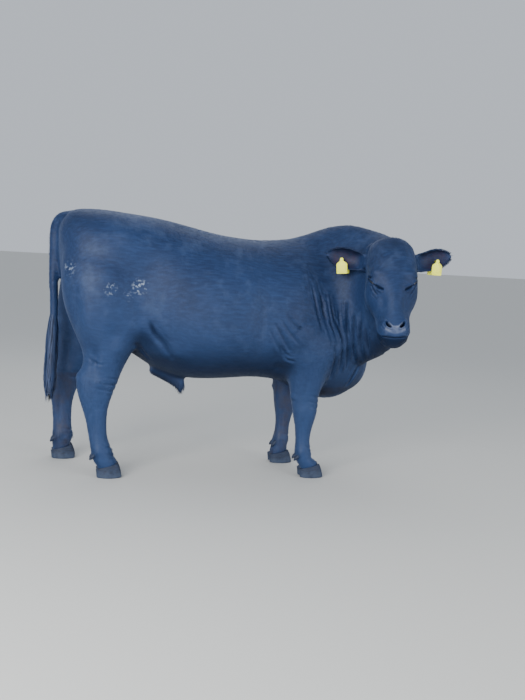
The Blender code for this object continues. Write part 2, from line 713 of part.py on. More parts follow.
def tag_plate(name, pin, across, up, out):
    """One plate of an ear tag, a house shape that hangs below its pin, with a stud towards the ear."""
    width, sides, peak = TAG
    neck = TAG_NECK
    outline = [(-width / 2, -peak), (width / 2, -peak), (width / 2, sides - peak), (neck, -neck * 0.6),
               (neck * 0.8, neck), (-neck * 0.8, neck), (-neck, -neck * 0.6), (-width / 2, sides - peak)]
    verts = [pin + across * a + up * u + out * o for o in (0.0, TAG_THICK) for a, u in outline]
    count = len(outline)
    faces = [tuple(range(count)), tuple(range(count, 2 * count))]
    faces += [(k, (k + 1) % count, count + (k + 1) % count, count + k) for k in range(count)]
    plate = solid(name, verts, faces)
    angle = np.linspace(0, 2 * math.pi, 10, endpoint=False)
    ring = np.outer(np.cos(angle), across) + np.outer(np.sin(angle), up)
    rings = [pin + TAG_STUD * ring + out * o for o in (-TAG_STAND, TAG_THICK + TAG_BUTTON)]
    unite(plate, [solid("stud", *tube(rings))])
    return plate


def make_tag(side, label):
    """The two plates of an ear tag, before and behind the ear, on studs that stop at its skin."""
    root, along, height, front = ear_frame(side)
    pin = root + along * TAG_REACH - height * TAG_DROP
    up = height * math.cos(TAG_SWING) + along * math.sin(TAG_SWING)
    across = along * math.cos(TAG_SWING) - height * math.sin(TAG_SWING)
    behind = max(cup for _, _, cup, _ in EAR)
    for name, out, offset in (("front", front, TAG_CLEAR), ("back", -front, behind + TAG_CLEAR)):
        plate = tag_plate(f"tag_{label}_{name}", pin + out * offset, across, up, out)
        boolean(plate, solid("clear", *tube(ear_rings(side, swell=SOCKET))), "DIFFERENCE")


def claw(name, foot, side):
    """One claw of a foot, flat on the floor, under the slope of the coronet."""
    x, y = FEET[foot]
    middle = y + side * (CLAW_HALF + CLAW_SPLIT / 2)
    angle = np.linspace(0, 2 * math.pi, 16, endpoint=False)
    rings = []
    for level, size, back in CLAW_LEVELS:
        along = SOLE_HALF * size * np.cos(angle)
        narrow = 1 - TOE_TAPER * np.clip(np.cos(angle), 0, 1) ** 2
        across = CLAW_HALF * size * np.sin(angle) * narrow
        across = np.where(across * side < 0, across * INNER_SIDE, across)
        rim = CORONET - GAP + CORONET_SLOPE * (along + back)
        rings.append(np.column_stack([x + back + along, middle + across, level * rim]))
    return solid(name, *tube(rings))


def dewclaws(foot):
    """The two small horns behind a fetlock."""
    x, y = FEET[foot]
    stations = catmull(LEGS[foot], 60)
    rear = stations[np.argmin(np.abs(stations[:, 0] - DEWCLAW_HEIGHT))][1]
    horns = []
    for side in (-1, 1):
        rings = []
        angle = np.linspace(0, 2 * math.pi, 8, endpoint=False)
        for drop, radius in DEWCLAW_RINGS:
            back = rear + DEWCLAW_IN - drop * 0.75
            middle = np.array([back, y + side * DEWCLAW_ASIDE, DEWCLAW_HEIGHT - drop])
            ring = np.column_stack([np.cos(angle), np.sin(angle), np.zeros(8)]) * radius
            rings.append(middle + ring)
        horns.append(solid("horn", *tube(rings)))
    return horns


def switch_lock(index, rng):
    """A flat tapered lock of the switch, rooted in its core and curving down to its own tip."""
    turn, share = index * LOCK_TURN, index / LOCKS
    level = TAIL_CUT - LOCK_HALF[0] - SWITCH_ROOTS * share
    tip = SWITCH_TIP + TIP_SPREAD * rng.random() * (1 - share)
    out = np.array([math.cos(turn), math.sin(turn), 0.0])
    across = np.array([-math.sin(turn), math.cos(turn), 0.0])
    spread = rng.uniform(*LOCK_BULGE)
    rings = []
    for t in np.linspace(0, 1, 5):
        bulge = LOCK_TIP[0] + spread * math.sin(math.pi * min(1.0, t * 1.1)) ** 0.8
        middle = np.array([SWITCH_X, 0.0, level + (tip - level) * t]) + out * bulge
        wide = LOCK_HALF[0] * (1 - t ** 2) + LOCK_TIP[0]
        thick = LOCK_HALF[1] * (1 - t) + LOCK_TIP[1]
        rings.append(np.array([middle + across * wide, middle + out * thick,
                               middle - across * wide, middle - out * thick]))
    return solid("lock", *tube(rings))


def make_switch():
    rings = []
    angle = np.linspace(0, 2 * math.pi, 12, endpoint=False)
    for z, radius in catmull(SWITCH_CORE, 9):
        ring = np.column_stack([np.cos(angle), np.sin(angle), np.zeros(12)]) * radius
        rings.append(np.array([SWITCH_X, 0, min(z, TAIL_CUT - GAP)]) + ring)
    core = solid("tail_switch", *tube(rings))
    rng = np.random.default_rng(5)
    unite(core, [switch_lock(i, rng) for i in range(LOCKS)], "MANIFOLD")
    return core


def make_body():
    """The fused body, with its forms, thinned out and ready to be parted."""
    body = fuse("torso", body_pieces(), BODY_VOXEL, BODY_RELAX)
    push(body, FORMS, both_sides)
    thin_out(body, BODY_FACES)
    return body


def make_head():
    pieces = [tube(neck_rings()), tube(head_rings())]
    for side in (-1, 1):
        pieces += [shape_of(swelling) for swelling in (*ear_bases(side), lid_mound(side))]
    head = fuse("head", pieces, HEAD_VOXEL, HEAD_RELAX)
    push(head, HEAD_FORMS, both_cheeks)
    thin_out(head, HEAD_FACES)
    boolean(head, neck_cut(GAP / 2), "INTERSECT")
    for side, label in ((-1, "right"), (1, "left")):
        make_ear(side, "ear_" + label, head)
        make_tag(side, label)
        make_eye(side, "eye_" + label, head)
        cut_nostril(side, head)
    cut_mouth(head)


def neck_cut(gap):
    """All that lies beyond the cut between neck and head, from a gap onwards."""
    across, upright = NECK_CUT
    return beyond(*NECK_PLANE, gap=gap, across=across - gap, upright=upright - gap)


def make_leg(body, foot):
    """A leg with its dewclaws, cut off at the coronet, and the two claws under it."""
    low, high = LEG_BOXES[foot]
    leg = part_off(body, "leg_" + foot, lambda gap: block(shrunk(low, gap), shrunk(high, -gap)))
    x, y = FEET[foot]
    boolean(leg, beyond((x, y, CORONET), (-CORONET_SLOPE, 0, 1)), "INTERSECT")
    unite(leg, dewclaws(foot))
    for side, label in ((-1, "right"), (1, "left")):
        claw(f"claw_{foot}_{label}", foot, side)


def shrunk(corner, gap):
    return [c + gap for c in corner]


def make_tail(body):
    """The dock of the tail in its socket, and the switch below it."""
    tail = solid("tail", *tube(tail_rings()))
    boolean(body, solid("socket", *tube(tail_rings(swell=SOCKET))), "DIFFERENCE")
    boolean(tail, beyond((0, 0, TAIL_CUT), (0, 0, 1)), "INTERSECT")
    make_switch()


def material(name, colour, roughness):
    made = bpy.data.materials.new(name)
    made.use_nodes = True
    shader = made.node_tree.nodes["Principled BSDF"]
    shader.inputs["Base Color"].default_value = (*colour, 1)
    shader.inputs["Roughness"].default_value = roughness
    return made


def settle():
    """Centres the model over the origin with its soles at Z = 0, and gives each piece its finish."""
    finishes = {
        "eye": material("wet_eye", (0.012, 0.008, 0.006), 0.08),
        "tag": material("tag_plastic", (0.85, 0.68, 0.05), 0.40),
        "claw": material("hoof_horn", (0.045, 0.036, 0.030), 0.55),
        "": material("black_coat", (0.012, 0.012, 0.015), 0.55),
    }
    meshes = [obj for obj in bpy.data.objects if obj.type == "MESH"]
    low = np.min([np.min([v.co for v in obj.data.vertices], axis=0) for obj in meshes], axis=0)
    high = np.max([np.max([v.co for v in obj.data.vertices], axis=0) for obj in meshes], axis=0)
    move = Matrix.Translation((-(low[0] + high[0]) / 2, -(low[1] + high[1]) / 2, -low[2]))
    for obj in meshes:
        obj.data.transform(move)
        obj.data.materials.clear()
        obj.data.materials.append(next(m for key, m in finishes.items() if obj.name.startswith(key)))
        obj.data.shade_smooth()
        obj.data.set_sharp_from_angle(angle=SMOOTH_ANGLE)


def main():
    for obj in list(bpy.data.objects):
        bpy.data.objects.remove(obj)
    body = make_body()
    boolean(body, neck_cut(-GAP / 2), "DIFFERENCE")
    make_tail(body)
    part_off(body, "neck", lambda gap: beyond(*CHEST_PLANE, gap=gap))
    for foot in FEET:
        make_leg(body, foot)
    low, high = SCROTUM_BOX
    part_off(body, "scrotum", lambda gap: block(shrunk(low, gap), shrunk(high, -gap)))
    make_head()
    settle()


main()
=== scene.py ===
# %% [markdown]
# # A life-size Angus bull
# This lesson dresses a life-size museum model of a black bull that stands square and looks
# over its right shoulder at us. The frame gives the plain solids at their real size. One skin
# with folds and muscles takes their place, and eyes, hooves, ear tags and hair are added to it.

# %% Load the frame
import math

import bmesh
import bpy
import numpy as np
from mathutils import Matrix, Vector
from mathutils.bvhtree import BVHTree


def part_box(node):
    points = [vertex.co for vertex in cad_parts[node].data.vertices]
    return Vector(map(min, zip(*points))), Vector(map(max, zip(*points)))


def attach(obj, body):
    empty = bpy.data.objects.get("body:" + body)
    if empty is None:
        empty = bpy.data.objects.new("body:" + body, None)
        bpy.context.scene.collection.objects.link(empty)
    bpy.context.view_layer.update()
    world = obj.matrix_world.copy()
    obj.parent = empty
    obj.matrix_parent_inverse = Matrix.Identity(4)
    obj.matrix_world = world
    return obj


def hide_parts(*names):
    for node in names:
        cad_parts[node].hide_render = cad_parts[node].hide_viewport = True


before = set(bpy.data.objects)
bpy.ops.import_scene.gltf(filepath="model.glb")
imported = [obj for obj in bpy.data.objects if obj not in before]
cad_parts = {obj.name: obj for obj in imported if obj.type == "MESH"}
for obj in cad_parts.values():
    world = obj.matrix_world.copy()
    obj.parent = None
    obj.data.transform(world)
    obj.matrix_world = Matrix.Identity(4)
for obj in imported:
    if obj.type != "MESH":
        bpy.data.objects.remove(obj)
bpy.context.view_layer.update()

scene = bpy.context.scene

# %% [markdown]
# ## Small helpers
# A colour given here is an sRGB hex value, but shaders add light in linear values, so one
# function turns the first into the second. Another adds one shader node of any kind with its
# settings and links, so every material below stays short enough to read in one go.

# %% Colour and node helpers
def linear(code):
    """sRGB hex code to linear colour with alpha."""
    parts = [int(code[i:i + 2], 16) / 255 for i in (1, 3, 5)]
    return tuple(c / 12.92 if c <= 0.04045 else ((c + 0.055) / 1.055) ** 2.4 for c in parts) + (1.0,)


def fill(tree, node, sockets):
    """Fills a node's sockets, by name or in their order. Each gets a hex colour, a number, a
    vector, or the output of another node, which is linked to it."""
    for key, value in sockets.items() if isinstance(sockets, dict) else enumerate(sockets):
        if isinstance(value, bpy.types.NodeSocket):
            tree.links.new(value, node.inputs[key])
        else:
            node.inputs[key].default_value = linear(value) if isinstance(value, str) else value


def add(tree, kind, sockets=(), out=0, stops=(), **options):
    """Adds a shader node with its options and sockets and gives back one of its outputs.
    Stops are the places and hex colours of a colour ramp."""
    node = tree.nodes.new("ShaderNode" + kind)
    for name, value in options.items():
        setattr(node, name, value)
    if stops:
        elements = node.color_ramp.elements
        while len(elements) < len(stops):
            elements.new(0.5)
        for element, (place, colour) in zip(elements, stops):
            element.position = place
            element.color = linear(colour)
    fill(tree, node, sockets)
    return node.outputs[out]


def new_material(name):
    """A material with its tree, its Principled shader and the place on the object."""
    made = bpy.data.materials.new(name)
    made.use_nodes = True
    tree = made.node_tree
    return made, tree, tree.nodes["Principled BSDF"], add(tree, "TexCoord", out="Object")


print("mid grey in linear light", round(linear("#808080")[0], 3))

# %% [markdown]
# ## The bull's own measures
# The body is drawn as egg-shaped sections along the trunk, the bent neck, the head and the
# legs, the way a sculptor sets out plywood formers on an armature. The rows are the same sizes
# as the solids have, in metres, with X towards the chest, Y to the bull's left and Z up.

# %% Sections of trunk, neck and head
RING = 48
TRUNK = (  # X, top, bottom, half width, height of the widest place, squareness above and below
    (-0.795, 1.225, 1.060, 0.070, 1.150, 2.0, 2.0), (-0.765, 1.275, 0.900, 0.165, 1.120, 2.3, 2.0),
    (-0.700, 1.296, 0.780, 0.235, 1.060, 2.6, 2.0), (-0.590, 1.297, 0.665, 0.272, 1.010, 2.8, 2.1),
    (-0.440, 1.287, 0.600, 0.288, 0.960, 2.7, 2.1), (-0.300, 1.270, 0.518, 0.305, 0.880, 2.4, 2.1),
    (-0.150, 1.240, 0.478, 0.325, 0.830, 2.2, 2.2), (0.000, 1.212, 0.478, 0.335, 0.820, 2.1, 2.3),
    (0.150, 1.198, 0.490, 0.330, 0.820, 2.0, 2.3), (0.250, 1.200, 0.488, 0.315, 0.820, 1.9, 2.2),
    (0.350, 1.212, 0.470, 0.300, 0.810, 1.8, 2.1), (0.450, 1.225, 0.425, 0.280, 0.790, 1.8, 2.0),
    (0.550, 1.210, 0.392, 0.250, 0.770, 1.8, 1.9), (0.640, 1.150, 0.395, 0.212, 0.740, 1.9, 1.8),
    (0.720, 1.030, 0.425, 0.165, 0.700, 2.0, 1.8), (0.785, 0.860, 0.475, 0.110, 0.660, 2.0, 1.9),
    (0.815, 0.740, 0.550, 0.050, 0.640, 2.0, 2.0),
)
NECK = (  # X, Y, heading in degrees, top, bottom, half width, widest height
    (0.300, 0.000, 0, 1.195, 0.620, 0.235, 0.880), (0.440, 0.000, -6, 1.240, 0.560, 0.225, 0.880),
    (0.570, -0.022, -18, 1.290, 0.520, 0.205, 0.880), (0.675, -0.075, -38, 1.302, 0.550, 0.185, 0.900),
    (0.755, -0.145, -56, 1.282, 0.590, 0.172, 0.920), (0.800, -0.230, -74, 1.260, 0.640, 0.156, 0.950),
    (0.805, -0.320, -90, 1.232, 0.690, 0.132, 0.990), (0.795, -0.390, -96, 1.190, 0.740, 0.100, 1.000),
)
POLL = Vector((0.788, -0.360, 1.238))
HEAD_BEARING = math.radians(12)
FACE_LEAN = math.radians(25)
HEAD_TILT = math.radians(2.4)       # the muzzle swings a little to its left
HEAD = (  # down the face, half width, front, widest, back, squareness front and back
    (-0.004, 0.046, -0.010, -0.035, -0.060, 2.0, 2.0), (0.010, 0.078, 0.018, -0.035, -0.090, 2.2, 2.0),
    (0.040, 0.102, 0.038, -0.035, -0.125, 2.5, 2.0), (0.075, 0.115, 0.050, -0.040, -0.150, 2.7, 2.0),
    (0.120, 0.120, 0.058, -0.040, -0.175, 2.8, 2.0), (0.170, 0.122, 0.061, -0.035, -0.195, 2.7, 2.0),
    (0.220, 0.125, 0.060, -0.040, -0.205, 2.3, 2.0), (0.270, 0.118, 0.056, -0.055, -0.205, 1.9, 2.1),
    (0.320, 0.104, 0.052, -0.062, -0.190, 1.8, 2.1), (0.365, 0.090, 0.048, -0.058, -0.162, 1.9, 2.1),
    (0.405, 0.080, 0.046, -0.048, -0.142, 2.2, 2.1), (0.445, 0.079, 0.046, -0.038, -0.126, 2.5, 2.2),
    (0.480, 0.078, 0.043, -0.034, -0.113, 2.5, 2.2), (0.510, 0.070, 0.026, -0.036, -0.101, 2.4, 2.2),
    (0.529, 0.053, 0.002, -0.044, -0.091, 2.2, 2.0), (0.540, 0.027, -0.022, -0.050, -0.075, 2.0, 2.0),
)

print("face from poll to chin", HEAD[-1][0], "metres")

# %% Sections of the legs
LEGS = {  # Z, rear X, front X, Y of the middle, half width
    "hind_right": (
        (1.170, -0.740, -0.400, -0.120, 0.080), (1.080, -0.770, -0.345, -0.145, 0.120),
        (0.960, -0.776, -0.322, -0.160, 0.140), (0.850, -0.762, -0.322, -0.165, 0.138),
        (0.770, -0.735, -0.345, -0.172, 0.126), (0.690, -0.700, -0.388, -0.180, 0.106),
        (0.610, -0.664, -0.428, -0.185, 0.084), (0.550, -0.664, -0.458, -0.188, 0.070),
        (0.500, -0.684, -0.477, -0.190, 0.061), (0.455, -0.692, -0.492, -0.190, 0.058),
        (0.405, -0.682, -0.512, -0.190, 0.055), (0.350, -0.664, -0.526, -0.190, 0.047),
        (0.280, -0.642, -0.533, -0.190, 0.040), (0.200, -0.626, -0.527, -0.190, 0.038),
        (0.145, -0.614, -0.508, -0.190, 0.046), (0.110, -0.606, -0.493, -0.190, 0.050),
        (0.070, -0.592, -0.478, -0.190, 0.050), (0.024, -0.588, -0.472, -0.190, 0.050)),
    "hind_left": (
        (1.170, -0.740, -0.400, 0.120, 0.080), (1.080, -0.770, -0.345, 0.145, 0.120),
        (0.960, -0.790, -0.330, 0.160, 0.140), (0.850, -0.802, -0.340, 0.168, 0.134),
        (0.770, -0.810, -0.372, 0.176, 0.122), (0.690, -0.814, -0.430, 0.184, 0.102),
        (0.610, -0.818, -0.500, 0.188, 0.082), (0.550, -0.826, -0.556, 0.190, 0.070),
        (0.500, -0.838, -0.604, 0.190, 0.061), (0.455, -0.846, -0.640, 0.190, 0.058),
        (0.405, -0.844, -0.672, 0.190, 0.055), (0.350, -0.836, -0.696, 0.190, 0.047),
        (0.280, -0.822, -0.710, 0.190, 0.040), (0.200, -0.815, -0.712, 0.190, 0.038),
        (0.145, -0.814, -0.706, 0.190, 0.046), (0.110, -0.814, -0.700, 0.190, 0.050),
        (0.070, -0.812, -0.696, 0.190, 0.050), (0.024, -0.812, -0.694, 0.190, 0.050)),
    "fore_right": (
        (0.860, 0.300, 0.570, -0.190, 0.070), (0.740, 0.285, 0.600, -0.190, 0.086),
        (0.650, 0.296, 0.604, -0.185, 0.088), (0.580, 0.328, 0.585, -0.175, 0.084),
        (0.517, 0.355, 0.559, -0.168, 0.076), (0.450, 0.372, 0.536, -0.163, 0.066),
        (0.395, 0.382, 0.521, -0.160, 0.060), (0.345, 0.392, 0.527, -0.160, 0.059),
        (0.300, 0.402, 0.518, -0.160, 0.053), (0.235, 0.414, 0.503, -0.160, 0.041),
        (0.175, 0.417, 0.500, -0.160, 0.039), (0.130, 0.417, 0.509, -0.160, 0.048),
        (0.095, 0.424, 0.518, -0.160, 0.049), (0.060, 0.434, 0.536, -0.160, 0.050),
        (0.024, 0.440, 0.544, -0.160, 0.050)),
    "fore_left": (
        (0.860, 0.300, 0.560, 0.190, 0.070), (0.740, 0.285, 0.590, 0.190, 0.086),
        (0.650, 0.292, 0.585, 0.185, 0.088), (0.580, 0.318, 0.556, 0.170, 0.084),
        (0.517, 0.336, 0.524, 0.155, 0.076), (0.450, 0.345, 0.502, 0.143, 0.066),
        (0.395, 0.350, 0.488, 0.140, 0.060), (0.345, 0.355, 0.488, 0.140, 0.059),
        (0.300, 0.362, 0.478, 0.140, 0.053), (0.235, 0.372, 0.461, 0.140, 0.041),
        (0.175, 0.370, 0.455, 0.140, 0.039), (0.130, 0.362, 0.456, 0.140, 0.048),
        (0.095, 0.357, 0.456, 0.140, 0.049), (0.060, 0.352, 0.462, 0.140, 0.050),
        (0.024, 0.351, 0.465, 0.140, 0.050)),
}
FEET = {"fore_right": (0.508, -0.160), "fore_left": (0.409, 0.140),
        "hind_right": (-0.517, -0.190), "hind_left": (-0.752, 0.190)}
TAIL = ((-0.745, 1.262, 0.026), (-0.790, 1.248, 0.030), (-0.816, 1.200, 0.029), (-0.822, 1.120, 0.026),
        (-0.820, 0.980, 0.026), (-0.812, 0.840, 0.026), (-0.812, 0.700, 0.022), (-0.818, 0.640, 0.014))
SHEATH = ((-0.300, 0.550, 0.070), (-0.235, 0.500, 0.055), (-0.180, 0.450, 0.036),
          (-0.158, 0.415, 0.024), (-0.150, 0.404, 0.014))
SCROTUM = ((-0.520, 0.700, 0.060), (-0.525, 0.630, 0.050), (-0.530, 0.560, 0.060),
           (-0.533, 0.500, 0.064), (-0.535, 0.455, 0.050), (-0.535, 0.436, 0.020))
print("feet stand at", FEET)


# %% Smooth rows and egg-shaped sections
def catmull(rows, count):
    """Smooth rows through the key rows, at equal steps of the row number."""
    keys = np.array(rows, dtype=float)
    padded = np.vstack([2 * keys[0] - keys[1], keys, 2 * keys[-1] - keys[-2]])
    out = []
    for t in np.linspace(0, len(keys) - 1, count):
        i = min(int(t), len(keys) - 2)
        f = t - i
        a, b, c, d = padded[i:i + 4]
        out.append(0.5 * (2 * b + (c - a) * f + (2 * a - 5 * b + 4 * c - d) * f ** 2
                          + (3 * b - a - 3 * c + d) * f ** 3))
    return np.array(out)


def egg(half_width, rise, drop, square_up=2.0, square_down=2.0, count=RING):
    """Side and height of points round an egg-shaped section with a power for each half."""
    angle = np.linspace(0, 2 * math.pi, count, endpoint=False)
    c, s = np.cos(angle), np.sin(angle)
    power = np.where(s >= 0, 2 / square_up, 2 / square_down)
    side = half_width * np.sign(c) * np.abs(c) ** power
    height = np.where(s >= 0, rise, drop) * np.sign(s) * np.abs(s) ** power
    return side, height


print("points round a section", RING, "rows along the trunk", len(TRUNK))


# %% Close a tube and make it an object
def tube(rings):
    """Vertices and faces of a closed tube through rings of equal count."""
    rows, count = len(rings), len(rings[0])
    ends = [np.mean(rings[0], axis=0), np.mean(rings[-1], axis=0)]
    verts = np.vstack([np.vstack(rings), ends])
    faces = []
    for r in range(rows - 1):
        for k in range(count):
            n = (k + 1) % count
            faces.append((r * count + k, r * count + n, (r + 1) * count + n, (r + 1) * count + k))
    last = (rows - 1) * count
    for k in range(count):
        n = (k + 1) % count
        faces.append((rows * count, n, k))
        faces.append((rows * count + 1, last + k, last + n))
    return verts, faces


def pile(pieces):
    """One list of vertices and faces from several."""
    verts, faces, start = [], [], 0
    for piece_verts, piece_faces in pieces:
        verts.append(np.asarray(piece_verts))
        faces += [tuple(i + start for i in f) for f in piece_faces]
        start += len(piece_verts)
    return np.vstack(verts), faces


def solid(name, verts, faces):
    """Mesh object of a surface, with its faces turned outwards."""
    mesh = bpy.data.meshes.new(name)
    mesh.from_pydata([tuple(v) for v in verts], [], faces)
    bm = bmesh.new()
    bm.from_mesh(mesh)
    bmesh.ops.recalc_face_normals(bm, faces=bm.faces)
    bm.to_mesh(mesh)
    bm.free()
    obj = bpy.data.objects.new(name, mesh)
    scene.collection.objects.link(obj)
    return obj


# %% Places on the head
def head_axes():
    """Axes of the head: to its left, out of the forehead, and down the face."""
    facing = Vector((-math.sin(HEAD_BEARING), -math.cos(HEAD_BEARING), 0))
    level = Vector((0, 0, 1)).cross(facing)
    plumb = facing * math.sin(FACE_LEAN) - Vector((0, 0, 1)) * math.cos(FACE_LEAN)
    out = facing * math.cos(FACE_LEAN) + Vector((0, 0, 1)) * math.sin(FACE_LEAN)
    left = level * math.cos(HEAD_TILT) - plumb * math.sin(HEAD_TILT)
    down = plumb * math.cos(HEAD_TILT) + level * math.sin(HEAD_TILT)
    return np.array([left, out, down])


HEAD_AXES = head_axes()


def on_head(points):
    """Places of points given as left, out and down on the head."""
    return np.array(POLL) + np.asarray(points) @ HEAD_AXES


def side_axes(side):
    """Head axes with the first one pointing out of the given side."""
    return HEAD_AXES * np.array([[side], [1], [1]])


def on_side(point, side):
    """The same place on the right, -1, or left, +1, of the head."""
    return on_head((point[0] * side, point[1], point[2]))


print("the forehead faces", [round(c, 3) for c in HEAD_AXES[1]])


# %% Tubes of the whole body
def pipe(path, count, sides=20):
    """Round rings along a path of X, Z and radius in the middle plane."""
    rows = catmull(path, count)
    rings = []
    for i, (x, z, radius) in enumerate(rows):
        before, after = rows[max(i - 1, 0)], rows[min(i + 1, count - 1)]
        along = Vector((after[0] - before[0], 0, after[1] - before[1])).normalized()
        across = Vector((0, 1, 0))
        up = along.cross(across)
        angle = np.linspace(0, 2 * math.pi, sides, endpoint=False)
        ring = np.outer(np.cos(angle), across) + np.outer(np.sin(angle), up)
        rings.append(np.array([x, 0, z]) + radius * ring)
    return rings


def body_tubes():
    """Tubes of the trunk, neck, head, legs, sheath, scrotum and tail."""
    trunk = [np.column_stack([np.full(RING, x), side, wide + height])
             for x, top, bottom, half, wide, up, down in catmull(TRUNK, 80)
             for side, height in [egg(half, top - wide, wide - bottom, up, down)]]
    neck = []
    for x, y, heading, top, bottom, half, wide in catmull(NECK, 40):
        side, height = egg(half, top - wide, wide - bottom, 1.7, 1.8)
        turn = math.radians(heading)
        neck.append(np.column_stack([x - side * math.sin(turn), y + side * math.cos(turn), wide + height]))
    head = [on_head(np.column_stack([side, wide + depth, np.full(RING, down)]))
            for down, half, front, wide, back, sq_front, sq_back in catmull(HEAD, 60)
            for side, depth in [egg(half, front - wide, wide - back, sq_front, sq_back)]]
    legs = []
    for stations in LEGS.values():
        legs.append([np.column_stack([(front + rear) / 2 + along, y + across, np.full(RING, z)])
                     for z, rear, front, y, half in catmull(stations, 4 * len(stations))
                     for along, across in [egg((front - rear) / 2, half, half, 2.2, 2.2)]])
    pipes = [pipe(path, count) for path, count in ((SHEATH, 20), (SCROTUM, 24), (TAIL, 60))]
    return [tube(rings) for rings in (trunk, neck, head, *legs, *pipes)]


TUBES = body_tubes()
print("tubes of the body", len(TUBES))


# %% [markdown]
# ## Camera first
# The view is fixed before anything is modelled, so that every trial render can be laid beside
# the photograph. It stands about four metres off the bull's right side, a little above its
# back, and is rolled by three degrees, as a hand-held picture is.

# %% Place of the model and the camera
EYE = (0.091, 0.006, 0.238)
EYE_RADIUS = 0.020
node_low, node_high = (Vector(c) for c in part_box("eye_right"))
MOVE = (node_low + node_high) / 2 - Vector(on_side(EYE, -1))
MOVE.z = 0.0

FOCAL, LONG_SIDE, SENSOR = 850.0, 700.0, 36.0   # focal length and picture height in pixels
VIEW_YAW, VIEW_ROLL = math.radians(11.0), math.radians(3.3)
VIEW_PITCH = math.atan(100.0 / FOCAL)
CAMERA_AT = Vector((-0.588, -4.329, 1.147))


def make_camera():
    """A camera at its fitted place, turned, tilted and rolled."""
    ahead = Vector((math.sin(VIEW_YAW) * math.cos(VIEW_PITCH),
                    math.cos(VIEW_YAW) * math.cos(VIEW_PITCH), -math.sin(VIEW_PITCH)))
    right = Vector((math.cos(VIEW_YAW), -math.sin(VIEW_YAW), 0))
    up = right.cross(ahead)
    rolled_right = right * math.cos(VIEW_ROLL) + up * math.sin(VIEW_ROLL)
    rolled_up = up * math.cos(VIEW_ROLL) - right * math.sin(VIEW_ROLL)
    camera = bpy.data.objects.new("camera", bpy.data.cameras.new("camera"))
    camera.data.sensor_width = SENSOR
    camera.data.lens = FOCAL / LONG_SIDE * SENSOR
    place = Matrix((rolled_right, rolled_up, -ahead)).transposed().to_4x4()
    place.translation = CAMERA_AT + MOVE
    camera.matrix_world = place
    scene.collection.objects.link(camera)
    scene.camera = camera


make_camera()
print("model moved by", tuple(round(c, 4) for c in MOVE))


# %% [markdown]
# ## One skin
# The real animal has no joints between its parts, so the tubes are fused by a voxel remesh,
# which melts overlapping shells into a single closed surface. The stair-steps it leaves are
# then relaxed away: each point moves towards the middle of its neighbours. The grid is fine
# enough to carry muscles, and only the head, neck folds and legs are divided further.

# %% Mesh arrays
SKIN_VOXEL = 0.0085
ROUNDS_ALL, ROUNDS_BODY = 8, 14     # of relaxing, for the whole skin and then for the body alone
COAT_DEPTH = 0.0015                 # the skin lies this far inside the solids
LID = 0.0055                        # thickness of the lids


def array_of(items, key, width, kind=float):
    """One property of every point, edge or face of a mesh as an array with a row for each."""
    values = np.empty(len(items) * width, dtype=kind)
    items.foreach_get(key, values)
    return values.reshape(-1, width)


def points_of(obj):
    return array_of(obj.data.vertices, "co", 3)


def normals_of(obj):
    return array_of(obj.data.vertex_normals, "vector", 3)


def edges_of(obj):
    return array_of(obj.data.edges, "vertices", 2, np.int64)


def write(obj, co):
    """Moves the points of a mesh to new places."""
    obj.data.vertices.foreach_set("co", np.ascontiguousarray(co).ravel())
    obj.data.update()


# %% Relax and divide a mesh
def relax(obj, weight, rounds):
    """Moves points towards the middle of their neighbours, by a weight for each point."""
    co, edges = points_of(obj), edges_of(obj)
    a, b = edges.T
    count = np.bincount(edges.ravel(), minlength=len(co))[:, None]
    for _ in range(rounds):
        total = np.zeros_like(co)
        for axis in range(3):
            total[:, axis] = np.bincount(a, co[b, axis], len(co)) + np.bincount(b, co[a, axis], len(co))
        co = co + weight[:, None] * (total / count - co)
    write(obj, co)


def apply_modifiers(obj):
    """Replaces an object's mesh with what its modifiers make of it."""
    graph = bpy.context.evaluated_depsgraph_get()
    mesh = bpy.data.meshes.new_from_object(obj.evaluated_get(graph))
    obj.modifiers.clear()
    obj.data = mesh


def refine(obj, inside):
    """Divides the faces whose points all lie inside a zone, and eases the new points in."""
    co = points_of(obj)
    chosen = inside(co)
    bm = bmesh.new()
    bm.from_mesh(obj.data)
    bm.verts.ensure_lookup_table()
    edges = [e for e in bm.edges if chosen[e.verts[0].index] and chosen[e.verts[1].index]]
    bmesh.ops.subdivide_edges(bm, edges=edges, cuts=1, use_grid_fill=True)
    bm.to_mesh(obj.data)
    bm.free()
    co = points_of(obj)
    relax(obj, 0.45 * inside(co), 3)


# %% Soft zones and round shapes
def near(co, centre, reach):
    """Soft ball of influence: 1 at its centre, falling off over its reach."""
    distance = (co - np.array(centre)) / np.array(reach)
    return np.exp(-(distance ** 2).sum(axis=1))


def head_local(co):
    """Left, out and down on the head."""
    return (co - np.array(POLL)) @ HEAD_AXES.T


def step(x, low, high):
    """Smooth step from 0 to 1 between two values."""
    t = np.clip((x - low) / (high - low), 0, 1)
    return t * t * (3 - 2 * t)


def ball(centre, radii, axes=None, sides=28):
    """Vertices and faces of an ellipsoid."""
    angle = np.linspace(0, 2 * math.pi, sides, endpoint=False)
    rings = []
    for lift in np.linspace(-math.pi / 2, math.pi / 2, sides // 2 + 1)[1:-1]:
        ring = np.column_stack([np.cos(angle) * math.cos(lift), np.sin(angle) * math.cos(lift),
                                np.full(sides, math.sin(lift))]) * np.array(radii)
        rings.append((ring @ axes if axes is not None else ring) + np.array(centre))
    return tube(rings)


reach_away = near(np.array([[1.0, 0.0, 0.0]]), (0, 0, 0), (1, 1, 1))[0]
print("influence at one reach from a centre", round(float(reach_away), 2))

# %% Fuse the body
EAR_ROOT = (0.112, -0.062, 0.108)   # left, out and down on the head
EAR_BASES = (((-0.020, 0.000, 0.000), (0.040, 0.036, 0.045)),
             ((-0.044, -0.016, -0.066), (0.052, 0.048, 0.050)))


